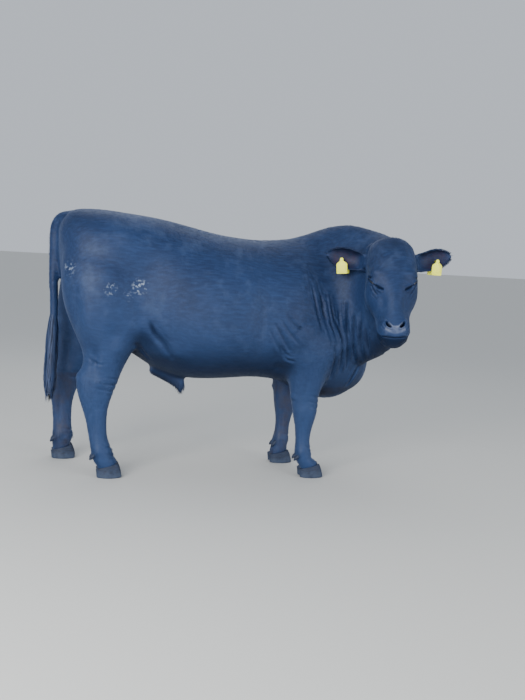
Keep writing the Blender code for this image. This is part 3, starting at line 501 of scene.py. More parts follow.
def head_swellings():
    """The roots of the ears and the mounds of the lids."""
    shapes = []
    for side in (-1, 1):
        for shift, radii in EAR_BASES:
            middle = [root + step_to for root, step_to in zip(EAR_ROOT, shift)]
            shapes.append(ball(on_side(middle, side), radii, side_axes(side)))
        shapes.append(ball(on_side(EYE, side), (EYE_RADIUS + LID,) * 3))
    return shapes


def fuse_body():
    """One closed skin from all tubes, relaxed least on the face, where its forms are small."""
    made = solid("bull_skin", *pile(TUBES + head_swellings()))
    remesh = made.modifiers.new("fuse", "REMESH")
    remesh.mode = "VOXEL"
    remesh.voxel_size = SKIN_VOXEL
    apply_modifiers(made)
    co = points_of(made)
    left, out, down = head_local(co).T
    on_face = step(out, -0.16, -0.10) * step(down, -0.06, 0.02) * step(-down, -0.62, -0.56)
    on_face *= step(-np.abs(left), -0.20, -0.15)
    relax(made, 0.5 - 0.25 * on_face, ROUNDS_ALL)
    relax(made, 0.5 * (1 - on_face), ROUNDS_BODY)
    return made


skin = fuse_body()
print("fused skin", len(skin.data.vertices), "points")

# %% [markdown]
# ## Muscle and bone
# A beef bull is read from its big forms: the blade and point of the shoulder, the hollow
# behind it, the spring of the ribs, the hip bone, the hollow flank, and the heavy thigh that
# tucks in above the hock. Each is a soft ball of influence that lifts or sinks the skin along
# its own normals. That is quick to try out, because every form is one short row of numbers.

# %% Forms of the trunk
FORMS = (  # place with Y to either side, reach, height
    ((0.590, 0.205, 0.700), (0.070, 0.070, 0.085), 0.016),     # point of the shoulder
    ((0.370, 0.240, 1.030), (0.060, 0.100, 0.150), 0.012),     # shoulder blade
    ((0.400, 0.290, 0.730), (0.100, 0.090, 0.110), 0.014),     # upper arm
    ((0.205, 0.310, 0.820), (0.050, 0.140, 0.200), -0.014),    # behind the shoulder
    ((-0.470, 0.270, 1.205), (0.060, 0.060, 0.050), 0.012),    # hip bone
    ((-0.760, 0.120, 1.185), (0.045, 0.050, 0.045), 0.010),    # pin bone
    ((-0.370, 0.270, 1.040), (0.100, 0.080, 0.110), -0.016),   # hollow flank
    ((-0.610, 0.300, 0.950), (0.140, 0.090, 0.180), 0.012),    # thigh
    ((-0.400, 0.250, 0.740), (0.060, 0.060, 0.070), 0.012),    # stifle
    ((0.345, 0.240, 0.610), (0.045, 0.060, 0.045), 0.010),     # elbow
    ((0.620, 0.000, 0.420), (0.100, 0.100, 0.060), 0.010),     # brisket
    ((-0.700, 0.270, 0.800), (0.022, 0.080, 0.130), -0.008),   # furrow of the hamstrings
    ((-0.640, 0.290, 0.760), (0.030, 0.070, 0.100), 0.006),    # and the muscle before it
    ((-0.520, 0.270, 0.705), (0.035, 0.070, 0.055), -0.007),   # above the gaskin
    ((0.500, 0.270, 0.900), (0.022, 0.090, 0.120), -0.008),    # furrow before the blade
    ((0.440, 0.285, 0.830), (0.060, 0.060, 0.030), -0.005),    # above the upper arm
    ((0.270, 0.310, 0.690), (0.040, 0.080, 0.060), 0.007),     # back of the upper arm
    ((0.300, 0.240, 0.560), (0.030, 0.060, 0.030), -0.008),    # pit behind the elbow
    ((0.010, 0.330, 0.760), (0.160, 0.100, 0.160), 0.007),     # spring of the ribs
    ((-0.250, 0.250, 0.620), (0.090, 0.100, 0.050), 0.010),    # belly before the flank
    ((-0.600, 0.060, 1.300), (0.120, 0.020, 0.030), 0.004),    # rump muscle beside the spine
    ((-0.150, 0.070, 1.250), (0.300, 0.035, 0.040), 0.005),    # loin
    ((-0.150, 0.000, 1.250), (0.350, 0.016, 0.040), -0.005),   # hollow along the spine
    ((-0.770, 0.055, 1.255), (0.030, 0.020, 0.030), -0.008),   # beside the tail head
)


def push(skin, lift):
    """Moves the skin along its normals."""
    co, normal = points_of(skin), normals_of(skin)
    write(skin, co + normal * lift[:, None])


def folded(co):
    """Places on the trunk with the right side folded onto the left."""
    return np.column_stack([co[:, 0], np.abs(co[:, 1]), co[:, 2]])


def raised(places, forms):
    """Height of all the forms together at each place."""
    return sum(height * near(places, centre, reach) for centre, reach, height in forms)


lift = raised(folded(points_of(skin)), FORMS)
push(skin, lift - COAT_DEPTH)
print("forms raise the skin by", round(float(lift.max()), 3), "and sink it by", round(float(-lift.min()), 3))

# %% [markdown]
# ## Where the mesh is finer
# Creases need points close together, and a hide that is fine all over would be too heavy. So
# zones are divided: once for legs, neck and the folds at elbow and flank, twice for the face,
# and three times round eyes and muzzle, where a point then stands about every millimetre.

# %% Divide the zones
NOSE = (0.0, 0.020, 0.470)


def around(co, centre, radius):
    """Whether each point lies within a radius of a centre."""
    return np.linalg.norm(co - np.array(centre), axis=1) < radius


def zone_body(co):
    """Legs, right side of the neck, chest, elbows, flanks and head."""
    x, y, z = folded(co).T
    legs = z < 0.60
    right_neck = (x > 0.38) & (co[:, 1] < -0.10) & (z < 1.20)
    chest = (x > 0.42) & (z < 0.95)
    elbow = (x > 0.20) & (x < 0.48) & (z > 0.55) & (z < 0.90) & (y > 0.18)
    flank = (x > -0.50) & (x < -0.18) & (z > 0.45) & (z < 0.86)
    return legs | right_neck | chest | elbow | flank | zone_head(co)


def zone_head(co):
    left, out, down = head_local(co).T
    return (np.abs(left) < 0.18) & (out > -0.20) & (down > -0.08) & (down < 0.60)


def zone_face(co):
    left, out, down = head_local(co).T
    return (np.abs(left) < 0.15) & (out > -0.12) & (down > 0.02) & (down < 0.58)


def zone_fine(co):
    fine = around(co, on_head(NOSE), 0.098)
    for side in (-1, 1):
        fine |= around(co, on_side(EYE, side), 0.048)
    return fine


for zone in (zone_body, zone_face, zone_fine):
    refine(skin, zone)
print("skin after dividing", len(skin.data.vertices), "points")

# %% [markdown]
# ## Legs
# Under the hide of a leg lie bones and tendons with hardly any muscle. The knee is a broad
# box, the hock has its point behind and a hollow before the great tendon, and the cannon
# shows a groove between bone and tendon. Each leg is measured from its own row of sections.

# %% Forms of the legs
FORE_FORMS = (  # height, place from rear -1 to front 1, out -1 to 1, reach, height
    (0.385, 0.85, 0.0, (0.030, 0.040, 0.028), 0.006), (0.415, -0.90, 0.4, (0.016, 0.030, 0.016), 0.007),
    (0.345, 0.60, 0.8, (0.022, 0.020, 0.020), 0.004), (0.345, 0.60, -0.8, (0.022, 0.020, 0.020), 0.003),
    (0.245, -0.25, 1.0, (0.010, 0.030, 0.070), -0.005), (0.245, -0.25, -1.0, (0.010, 0.030, 0.070), -0.005),
    (0.133, -0.40, 0.9, (0.022, 0.020, 0.022), 0.005), (0.133, -0.40, -0.9, (0.022, 0.020, 0.022), 0.004),
    (0.098, 0.90, 0.0, (0.030, 0.040, 0.012), -0.005), (0.480, 0.60, 0.6, (0.020, 0.040, 0.070), 0.004),
    (0.480, -0.10, 1.0, (0.012, 0.030, 0.060), -0.004))
HIND_FORMS = (
    (0.500, -1.00, 0.0, (0.022, 0.030, 0.026), 0.009), (0.585, -0.45, 0.9, (0.018, 0.030, 0.060), -0.012),
    (0.585, -0.45, -0.9, (0.018, 0.030, 0.060), -0.010), (0.470, 0.10, 1.0, (0.024, 0.022, 0.024), 0.006),
    (0.470, 0.10, -1.0, (0.024, 0.022, 0.024), 0.006), (0.400, 0.80, 0.5, (0.020, 0.030, 0.030), 0.004),
    (0.260, -0.20, 1.0, (0.010, 0.030, 0.080), -0.005), (0.260, -0.20, -1.0, (0.010, 0.030, 0.080), -0.005),
    (0.133, -0.40, 0.9, (0.022, 0.020, 0.022), 0.005), (0.133, -0.40, -0.9, (0.022, 0.020, 0.022), 0.004),
    (0.098, 0.90, 0.0, (0.030, 0.040, 0.012), -0.005), (0.640, 0.40, 0.9, (0.035, 0.030, 0.050), 0.007))
CORONET, CORONET_SLOPE = 0.060, 0.28    # height of the hoof's rim, and its rise towards the toe
HOOF_TOP = (0.0505, 0.0475)     # half length and half width of the skin where it meets the horn
print("forms on a fore leg", len(FORE_FORMS), "and on a hind leg", len(HIND_FORMS))


# %% Shape legs and feet
def leg_at(foot, z):
    """Rear X, front X, middle Y and half width of a leg at a height."""
    rows = np.array(LEGS[foot])[::-1]
    return [np.interp(z, rows[:, 0], rows[:, k]) for k in (1, 2, 3, 4)]


def outer_side(foot):
    """The side a leg stands on, right -1 or left +1."""
    return -1 if foot.endswith("right") else 1


def shape_legs(skin):
    """Lifts bones and sinks the hollows between them."""
    co = points_of(skin)
    lift = np.zeros(len(co))
    for foot in LEGS:
        for z, along, out, reach, height in FORE_FORMS if foot.startswith("fore") else HIND_FORMS:
            rear, front, y, half = leg_at(foot, z)
            place = ((rear + front) / 2 + along * (front - rear) / 2, y + out * outer_side(foot) * half, z)
            lift += height * near(co, place, reach)
    push(skin, lift)


def shape_feet(skin):
    """Widens each pastern to the hoof's rim, splits it, and tucks its end in under the rim."""
    co = points_of(skin)
    for foot, (x, y) in FEET.items():
        rear, front, leg_y, half = leg_at(foot, co[:, 2])
        mine = (np.abs(co[:, 0] - x) < 0.12) & (np.abs(co[:, 1] - y) < 0.09) & (co[:, 2] < 0.16)
        over = co[:, 2] - (CORONET + CORONET_SLOPE * (co[:, 0] - x))
        flare = step(-over, -0.045, 0.002) * mine
        tuck = 1 - 0.14 * step(-over, 0.000, 0.008)
        wide_x = HOOF_TOP[0] / ((front - rear) / 2) * tuck
        wide_y = HOOF_TOP[1] / half * tuck
        to_x = x - 0.010 + (co[:, 0] - (rear + front) / 2) * wide_x
        to_y = y + (co[:, 1] - leg_y) * wide_y
        co[:, 0] += flare * (to_x - co[:, 0])
        co[:, 1] += flare * (to_y - co[:, 1])
        cleft = 0.009 * flare * np.exp(-((co[:, 1] - y) / 0.007) ** 2)
        co[:, 0] -= np.sign(co[:, 0] - x + 0.010) * cleft
    write(skin, co)


shape_legs(skin)
shape_feet(skin)
print("skin reaches down to", round(float(points_of(skin)[:, 2].min()), 3))

# %% [markdown]
# ## The face
# A bull's face is a long wedge: a broad flat forehead, brows that stand over the eyes, cheeks
# full of chewing muscle, a straight nose and a wide soft muzzle. The rows below are places on
# the head, measured left, out and down from the poll, and hold for both sides at once.

# %% Forms of the face
HEAD_FORMS = (
    ((0.088, 0.035, 0.195), (0.030, 0.030, 0.022), 0.010),     # brow
    ((0.000, 0.060, 0.110), (0.050, 0.030, 0.060), 0.006),     # forehead
    ((0.084, 0.020, 0.300), (0.026, 0.030, 0.016), -0.005),    # under the eye
    ((0.103, 0.008, 0.262), (0.012, 0.020, 0.012), 0.003),     # bag of the lower lid
    ((0.105, -0.060, 0.285), (0.030, 0.050, 0.060), 0.010),    # cheek
    ((0.060, 0.030, 0.355), (0.022, 0.030, 0.055), -0.008),    # side of the face
    ((0.000, 0.055, 0.330), (0.030, 0.020, 0.080), 0.004),     # bridge of the nose
    ((0.054, 0.036, 0.446), (0.018, 0.020, 0.018), 0.007),     # wing of the nostril
    ((0.000, -0.055, 0.518), (0.035, 0.030, 0.020), 0.004),    # chin
    ((0.000, -0.010, 0.020), (0.060, 0.050, 0.030), 0.006),    # dome of the poll
    ((0.108, -0.040, 0.190), (0.024, 0.030, 0.030), -0.006),   # temple
    ((0.100, -0.120, 0.310), (0.030, 0.045, 0.055), 0.008),    # jaw muscle
    ((0.045, 0.030, 0.499), (0.030, 0.020, 0.012), 0.005),     # upper lip
    ((0.072, -0.020, 0.500), (0.020, 0.030, 0.018), -0.007),   # corner of the lips
    ((0.058, -0.040, 0.528), (0.022, 0.030, 0.014), -0.008),   # side of the chin
    ((0.000, 0.055, 0.215), (0.030, 0.020, 0.050), -0.003),    # dip between the eyes
    ((0.052, 0.050, 0.110), (0.016, 0.020, 0.060), 0.003),     # ridge of the forehead
)
print("forms on the face", len(HEAD_FORMS))

# %% Lids
EYE_OUT = math.radians(44)          # how far the eye looks forwards from straight sideways
SLIT_SLANT = math.radians(44)       # how far the slit falls towards the nose
SLIT_HALF, SLIT_REACH = 0.14, 0.86  # half width and half length of the slit, in eye radii


def mirrored(co):
    """Places on the head with its right side folded onto its left."""
    face = head_local(co)
    face[:, 0] = np.abs(face[:, 0])
    return face


def eye_axes(side):
    """Along the slit towards the nose, across it upwards, and out of the eye."""
    axes = side_axes(side)
    outward = axes[0] * math.cos(EYE_OUT) + axes[1] * math.sin(EYE_OUT)
    level = axes[1] * math.cos(EYE_OUT) - axes[0] * math.sin(EYE_OUT)
    slant = level * math.cos(SLIT_SLANT) + axes[2] * math.sin(SLIT_SLANT)
    across = np.cross(outward, slant)
    return np.array([slant, across if across @ axes[2] < 0 else -across, outward])


def lash_line(along):
    """Middle of the slit, below the eye's own, as the heavy upper lid hangs over the eye."""
    return -0.04 - 0.08 * along


def make_lids(skin, side):
    """Wraps the skin round the eyeball, with a narrow opening between two thick lid edges."""
    co = points_of(skin)
    centre = on_side(EYE, side)
    away = co - centre
    radius = np.linalg.norm(away, axis=1)
    local = (away / np.maximum(radius, 1e-9)[:, None]) @ eye_axes(side).T
    along, across, out = local.T
    angle = np.arccos(np.clip(out, -1, 1))
    reach = step(-angle, -1.25, -0.75)
    half = SLIT_HALF * np.clip(1 - (along / SLIT_REACH) ** 2, 0, 1)
    gap = np.abs(across - lash_line(along)) - half
    lid = EYE_RADIUS + 0.0025 + 0.0022 * step(gap, 0.02, 0.25)
    lid += 0.0012 * np.exp(-((gap - 0.10) / 0.06) ** 2)
    opening = EYE_RADIUS - 0.0030
    wanted = opening + (lid - opening) * step(gap, -0.05, 0.03)
    inside_eye = np.where(gap < 0.03, wanted, np.maximum(radius, wanted))
    target = radius + (inside_eye - radius) * reach
    near_eye = radius < 0.045
    co[near_eye] = (centre + away * (target / np.maximum(radius, 1e-9))[:, None])[near_eye]
    write(skin, co)
    # painted shade along the slit and the rims of the lids
    return near_eye * step(-gap, -0.16, -0.02) * step(out, 0.2, 0.4)


print("slit of an eye", round(2000 * SLIT_REACH * EYE_RADIUS), "mm long")


# %% Nostrils
NOSTRIL = (0.034, 0.035, 0.459)
NOSTRIL_SLANT = math.radians(40)
NOSTRIL_SIZE = (0.0080, 0.0200)     # half width and half height
NOSTRIL_DEPTH = 0.026


def make_nostril(skin, side):
    """A comma-shaped pit with a rolled rim, its upper end turned outwards."""
    co, normal = points_of(skin), normals_of(skin)
    left, out, down = side_axes(side)
    place = co - on_side(NOSTRIL, side)
    a = place @ left
    d = place @ down
    turn = NOSTRIL_SLANT + 9.0 * d
    across = a * np.cos(turn) + d * np.sin(turn)
    along = d * np.cos(turn) - a * np.sin(turn)
    wide, tall = NOSTRIL_SIZE
    r = np.sqrt((across / (wide * (1 + 14 * along))) ** 2 + (along / tall) ** 2)
    front = step(place @ out, -0.035, -0.020) * (r < 4)
    pit = NOSTRIL_DEPTH * step(-r, -1.05, -0.50) * front
    rim = 0.0036 * np.exp(-((r - 1.40) / 0.30) ** 2) * front
    inward = normal * 0.4 + out * 0.5 - down * 0.35
    write(skin, co - inward * pit[:, None] + normal * rim[:, None])
    # painted shade inside the pit
    return step(-r, -1.15, -0.75) * front


print("nostril", round(2000 * NOSTRIL_SIZE[1]), "mm high and", round(1000 * NOSTRIL_DEPTH), "mm deep")


# %% Mouth
MOUTH = 0.517               # how far down the head the lips meet in front
MUZZLE = (0.072, 0.060)     # half width and half depth of the muzzle there


def off_mouth(co):
    """Distance below the mouth line and its fade. The line is level in front and climbs behind."""
    left, out, down = head_local(co).T
    turn = np.arctan2(left / MUZZLE[0], (out + 0.036) / MUZZLE[1])
    line = MOUTH - 0.010 * turn ** 2 - 0.005 * turn ** 4
    at_lips = (np.abs(left) < 0.12) & (out > -0.14) & (out < 0.10) & (down > 0.40)
    return down - line, step(-np.abs(turn), -2.1, -1.4) * at_lips


def make_mouth(skin):
    """A groove round the muzzle with a soft lip on each side."""
    co, normal = points_of(skin), normals_of(skin)
    off, fade = off_mouth(co)
    lift = -0.0050 * np.exp(-(off / 0.0022) ** 2)
    upper_lip = 0.0020 * np.exp(-((off + 0.0075) / 0.0055) ** 2)
    lower_lip = 0.0014 * np.exp(-((off - 0.0080) / 0.0060) ** 2)
    lift += upper_lip + lower_lip
    write(skin, co + normal * (lift * fade)[:, None])
    # painted shade along the groove of the lips
    return fade * np.exp(-(off / 0.0028) ** 2)


# %% Shape the face
co = points_of(skin)
push(skin, raised(mirrored(co), HEAD_FORMS))
dark = np.zeros(len(co))      # painted shade: creases, nostrils, mouth and rims of the lids
for side in (-1, 1):
    dark = np.maximum(dark, make_lids(skin, side))
    dark = np.maximum(dark, make_nostril(skin, side))
dark = np.maximum(dark, make_mouth(skin))
print("points in the slits, nostrils and mouth", int((dark > 0.5).sum()))

# %% [markdown]
# ## Folds of skin
# Where the neck bends, the hide gathers in fans of fine folds, and there are creases at the
# elbow, the flank, the knees and round the eyes. A fold is drawn as a short path over the
# body. Its points are dropped onto the skin from the side or from the front, and the skin
# sinks along the path and swells a little beside it, as loose hide does.

# %% Drop paths onto the skin
def surface(obj):
    """The faces of the skin in a tree, which quickly finds where a line meets them."""
    places = [v.co.copy() for v in obj.data.vertices]
    return BVHTree.FromPolygons(places, [tuple(p.vertices) for p in obj.data.polygons])


def from_side(tree, points, side):
    """Points given as X and Z, dropped onto the skin from one side."""
    hits = [tree.ray_cast(Vector((x, side * 1.0, z)), Vector((0, -side, 0)))[0] for x, z in points]
    return [hit for hit in hits if hit is not None]


def from_front(tree, points):
    """Points given as left and down on the head, dropped onto the face."""
    back = Vector(-HEAD_AXES[1])
    hits = [tree.ray_cast(Vector(on_head((left, 0.30, down))), back)[0] for left, down in points]
    return [hit for hit in hits if hit is not None]


def snap(tree, points):
    """The nearest places on the skin."""
    return [tree.find_nearest(Vector(p))[0] for p in points]


# %% Sink a fold
def smooth_path(points, per_step=6):
    """A smooth path with a few places between each two points."""
    return catmull([tuple(p) for p in points], per_step * (len(points) - 1) + 1)


def fold_lift(co, path, width, depth, lip=0.5):
    """How far a crease along a path moves each point of the skin."""
    path = smooth_path(path)
    low, high = path.min(axis=0) - 4 * width, path.max(axis=0) + 4 * width
    index = np.nonzero(((co > low) & (co < high)).all(axis=1))[0]
    points = co[index]
    best = np.full(len(points), 1e9)
    share = np.zeros(len(points))
    for i in range(len(path) - 1):
        a, ab = path[i], path[i + 1] - path[i]
        t = np.clip(((points - a) @ ab) / max(ab @ ab, 1e-12), 0, 1)
        d = np.linalg.norm(points - a - t[:, None] * ab, axis=1)
        closer = d < best
        best[closer] = d[closer]
        share[closer] = (i + t[closer]) / (len(path) - 1)
    fade = np.clip(4 * share * (1 - share), 0, 1) ** 0.6
    lift = np.zeros(len(co))
    lift[index] = fade * (lip * depth * np.exp(-((best - 2.1 * width) / (1.2 * width)) ** 2)
                          - depth * np.exp(-(best / width) ** 2))
    return lift


def add_folds(skin, folds):
    """Sinks a list of folds, each a path with its width and depth."""
    co, normal = points_of(skin), normals_of(skin)
    lift = np.zeros(len(co))
    for path, width, depth in folds:
        if len(path) > 1:
            lift += fold_lift(co, path, width, depth)
    write(skin, co + normal * lift[:, None])
    return np.clip(-lift / 0.004, 0, 1)


# %% Folds of the sides and legs
SIDE_FOLDS = (  # X and Z of the points, width and depth in millimetres
    (((-0.353, 0.786), (-0.326, 0.724), (-0.275, 0.667), (-0.231, 0.590)), 17, 6),      # flank
    (((-0.330, 0.800), (-0.295, 0.735), (-0.240, 0.680)), 12, 2),
    (((-0.426, 0.665), (-0.379, 0.628), (-0.330, 0.575)), 11, 4),
    (((0.247, 0.804), (0.286, 0.742), (0.337, 0.656)), 9, 4),                           # behind the arm
    (((0.270, 0.824), (0.325, 0.758), (0.383, 0.694)), 8, 3),
    (((0.225, 0.770), (0.258, 0.706), (0.300, 0.640)), 8, 3),
    (((0.285, 0.690), (0.315, 0.650), (0.350, 0.625)), 7, 3),
    (((0.300, 0.650), (0.330, 0.618), (0.372, 0.605)), 7, 3),
    (((0.300, 0.850), (0.345, 0.800), (0.380, 0.770)), 7, 3),
    (((0.372, 0.788), (0.384, 0.772)), 11, 5),                                          # dimple
    (((-0.640, 0.600), (-0.600, 0.570), (-0.560, 0.560)), 6, 3),                        # above the hock
)


def ring_fold(foot, z, tilt, share):
    """A crease that runs round the front of a leg at a height."""
    rear, front, y, half = leg_at(foot, z)
    path = []
    for turn in np.linspace(-share, share, 9):
        path.append(((rear + front) / 2 + (front - rear) / 2 * math.cos(turn), y + half * math.sin(turn),
                     z + tilt * (1 - math.cos(turn))))
    return path


def ring_fold_scrotum(z):
    """A crease all round the scrotum at a height."""
    return [(-0.533 + 0.07 * math.cos(t), 0.07 * math.sin(t), z + 0.004 * math.sin(3 * t))
            for t in np.linspace(-math.pi, math.pi, 17)]


print("folds drawn on each side", len(SIDE_FOLDS))


# %% Folds of neck and face
def neck_fan(tree, rng):
    """Fine folds that fan from behind the right ear down to the shoulder."""
    folds = []
    for k in range(18):
        x = 0.400 + 0.0165 * k + rng.normal(0, 0.004)
        top = (x, 1.090 - 0.012 * k - 0.10 * rng.random())
        low = (x + 0.090 - 0.002 * k, 0.860 - 0.012 * k - 0.12 * rng.random())
        middle = ((top[0] + low[0]) / 2 - 0.012 + rng.normal(0, 0.004), (top[1] + low[1]) / 2)
        width = rng.uniform(0.0045, 0.0075)
        folds.append((from_side(tree, (top, middle, low), -1), width, width * rng.uniform(0.35, 0.85)))
    return folds


FACE_FOLDS = (  # left and down of the points, width and depth in millimetres, for both sides
    (((0.118, 0.206), (0.111, 0.214), (0.104, 0.222)), 5.0, 4.5),    # from the outer corner
    (((0.089, 0.256), (0.077, 0.266), (0.063, 0.276), (0.049, 0.285)), 5.5, 7.0),    # from the inner corner
    (((0.108, 0.250), (0.099, 0.266), (0.088, 0.284), (0.074, 0.304)), 3.8, 3.2),    # under the lower lid
    (((0.104, 0.282), (0.092, 0.300), (0.078, 0.316)), 4.0, 1.0),
    (((0.060, 0.400), (0.066, 0.430), (0.062, 0.462), (0.050, 0.480)), 3.4, 1.8),    # round the nostril
)
BACK_FOLDS = (  # places on the head behind its edge: left, out, down
    (((0.118, -0.050, 0.078), (0.108, -0.050, 0.034), (0.080, -0.048, 0.008),
      (0.040, -0.045, -0.004)), 7, 3),
    (((0.125, -0.085, 0.080), (0.112, -0.090, 0.034), (0.080, -0.088, 0.004)), 8, 3),
    (((0.128, -0.060, 0.140), (0.124, -0.062, 0.180), (0.118, -0.070, 0.230)), 6, 4),
    (((0.120, -0.090, 0.230), (0.118, -0.105, 0.290), (0.105, -0.120, 0.350)), 7, 5),
)
DEWLAP_FOLDS = (  # two ends of each fold in the hide between neck and brisket
    ((0.626, -0.234, 0.840), (0.668, -0.165, 0.560)), ((0.655, -0.262, 0.860), (0.700, -0.190, 0.600)),
    ((0.690, -0.280, 0.820), (0.742, -0.190, 0.610)), ((0.600, -0.230, 0.760), (0.635, -0.175, 0.540)),
    ((0.730, -0.300, 0.800), (0.790, -0.190, 0.640)), ((0.790, -0.300, 0.800), (0.820, -0.150, 0.640)),
    ((0.560, -0.225, 0.700), (0.590, -0.180, 0.500)), ((0.720, -0.100, 0.620), (0.690, -0.080, 0.470)),
    ((0.760, -0.020, 0.620), (0.720, 0.000, 0.470)), ((0.730, 0.080, 0.640), (0.690, 0.080, 0.470)),
)
print("folds on each side of the head", len(FACE_FOLDS) + len(BACK_FOLDS))
print("folds of the dewlap", len(DEWLAP_FOLDS))


# %% Sink all folds
def fold_everything(skin):
    """Sinks every fold and gives back the painted shade of each point in its creases."""
    tree = surface(skin)
    rng = np.random.default_rng(3)
    folds = neck_fan(tree, rng)
    for side in (-1, 1):
        folds += [(from_side(tree, path, side), w / 1000, d / 1000) for path, w, d in SIDE_FOLDS]
        for path, w, d in FACE_FOLDS:
            placed = from_front(tree, [(side * left, down) for left, down in path])
            folds.append((placed, w / 1000, d / 1000))
        for path, w, d in BACK_FOLDS:
            folds.append((snap(tree, [on_side(p, side) for p in path]), w / 1000, d / 1000))
    for foot in LEGS:
        knee = 0.385 if foot.startswith("fore") else 0.455
        for k, z in enumerate((knee - 0.030, knee, knee + 0.030, 0.150, 0.108)):
            folds.append((snap(tree, ring_fold(foot, z, 0.020, 1.5)), 0.0050, 0.0013 + 0.0005 * (k % 2)))
    for top, low in DEWLAP_FOLDS:
        folds.append((snap(tree, [top, [(a + b) / 2 for a, b in zip(top, low)], low]), 0.009, 0.007))
    for z in (0.610, 0.590, 0.572, 0.470, 0.455):
        folds.append((snap(tree, ring_fold_scrotum(z)), 0.0050, 0.0016))
    folds.append((snap(tree, [(-0.535 + 0.06 * math.sin(t), 0.0, 0.52 - 0.09 * math.cos(t))
                              for t in np.linspace(-1.4, 1.4, 9)]), 0.006, 0.004))
    return add_folds(skin, folds)


dark = np.maximum(dark, 0.9 * fold_everything(skin))
print("share of the hide that lies in creases", round(float((dark > 0.3).mean()), 3))

# %% [markdown]
# ## Ears
# A bull's ear is a leaf of gristle rolled into a cup, held straight out at the side with the
# cup to the front. It is lofted from crescent sections, then joined to the skin by a Boolean
# union, and the join is eased, so that the hide runs from head to ear with no edge.

# %% Loft the ears
EAR = (  # share of the length, half height, depth of the cup, thickness of its wall
    (0.00, 0.047, 0.026, 0.050), (0.08, 0.045, 0.028, 0.040), (0.18, 0.044, 0.031, 0.016),
    (0.32, 0.047, 0.033, 0.008), (0.50, 0.051, 0.030, 0.007), (0.68, 0.046, 0.024, 0.006),
    (0.84, 0.032, 0.016, 0.006), (0.95, 0.015, 0.009, 0.005), (1.00, 0.005, 0.006, 0.004))
EAR_LENGTH = 0.208
EAR_BACK = math.radians(10)     # how far the tip points backwards
EAR_RISE = math.radians(18)     # and upwards
EAR_RING = 44


def ear_frame(side):
    """Root, direction, height and cup direction of an ear."""
    axes = side_axes(side)
    along = axes[0] * math.cos(EAR_BACK) - axes[1] * math.sin(EAR_BACK)
    along = along * math.cos(EAR_RISE) - axes[2] * math.sin(EAR_RISE)
    height = np.array([0.0, 0.0, 1.0]) - along * along[2]
    height /= np.linalg.norm(height)
    front = np.cross(height, along) * side
    if front @ axes[1] < 0:
        front = -front
    return on_side(EAR_ROOT, side), along, height, front


def ear_rings(side):
    """Crescent sections from a solid root, sunk into the head, to the tip."""
    root, along, height, front = ear_frame(side)
    half = EAR_RING // 2
    angle = np.linspace(0, math.pi, half + 1)
    rings = [None]
    for share, tall, cup, wall in catmull(EAR, 60):
        tall, cup = tall - 0.001, cup - 0.001
        curl = 0.16 * math.sin(math.pi * min(share, 1))
        outer = [(tall * math.cos(a), -cup * math.sin(a) ** 0.9) for a in angle]
        inner = [((tall - wall * 0.35) * math.cos(a), -(cup - wall) * math.sin(a) ** 0.9)
                 for a in angle[-2:0:-1]]
        section = np.array(outer + inner)
        section[:, 1] += curl * np.abs(section[:, 0]) ** 2 / max(tall, 0.004)
        ripple = 0.0012 * math.sin(31 * share) * (share > 0.2)
        rings.append(root + along * share * EAR_LENGTH + np.outer(section[:, 0] + ripple, height)
                     + np.outer(section[:, 1], front))
    rings[0] = rings[1] - along * 0.022
    return rings


print("rings of an ear", len(ear_rings(1)), "over", EAR_LENGTH, "metres")


# %% Join the ears
def join_ears(skin):
    """Unites the ears with the skin and gives back how many points that adds."""
    group = bpy.data.collections.new("ears")
    ears = [solid("ear", *tube(ear_rings(side))) for side in (-1, 1)]
    for ear in ears:
        group.objects.link(ear)
    union = skin.modifiers.new("join", "BOOLEAN")
    union.operation = "UNION"
    union.solver = "MANIFOLD"
    union.operand_type = "COLLECTION"
    union.collection = group
    before = len(skin.data.vertices)
    apply_modifiers(skin)
    for ear in ears:
        bpy.data.objects.remove(ear)
    bpy.data.collections.remove(group)
    return len(skin.data.vertices) - before


# the painted shade of creases, slits, nostrils and mouth, kept through the union with the ears
skin.data.attributes.new("creases", "FLOAT", "POINT").data.foreach_set("value", dark.astype(np.float32))
print("points that the ears add", join_ears(skin))
co = points_of(skin)
blend = np.zeros(len(co))
for side in (-1, 1):
    root, along, _, _ = ear_frame(side)
    blend = np.maximum(blend, near(co, root + 0.006 * along, (0.034, 0.034, 0.034)))
relax(skin, 0.5 * np.clip(1.6 * blend, 0, 1), 6)

# %% [markdown]
# ## Masks
# Hair, nose and ear lining need different colours on one skin. A mask is one number for each
# point of the mesh, kept as an attribute, so it belongs to the surface and looks the same
# from every side. The nose pad with a painted highlight along its rim, the ear lining, painted
# warm light inside the legs and along the belly, painted shade in the creases and under the
# body, the legs and the face each get one.

# %% Masks of ear lining and nose pad
def ear_inside(co, normal):
    """1 in the cup of the ears, softly down to 0 at its rim and towards the head."""
    inside = np.zeros(len(co))
    for side in (-1, 1):
        root, along, height, front = ear_frame(side)
        place = co - root
        share = place @ along / EAR_LENGTH
        facing = normal @ front
        held = step(-np.abs(place @ height), -0.049, -0.038)
        part = step(share, 0.14, 0.42) * step(-share, -1.0, -0.8) * step(facing, 0.1, 0.5)
        inside = np.maximum(inside, part * held * (np.linalg.norm(place, axis=1) < 0.24))
    return inside


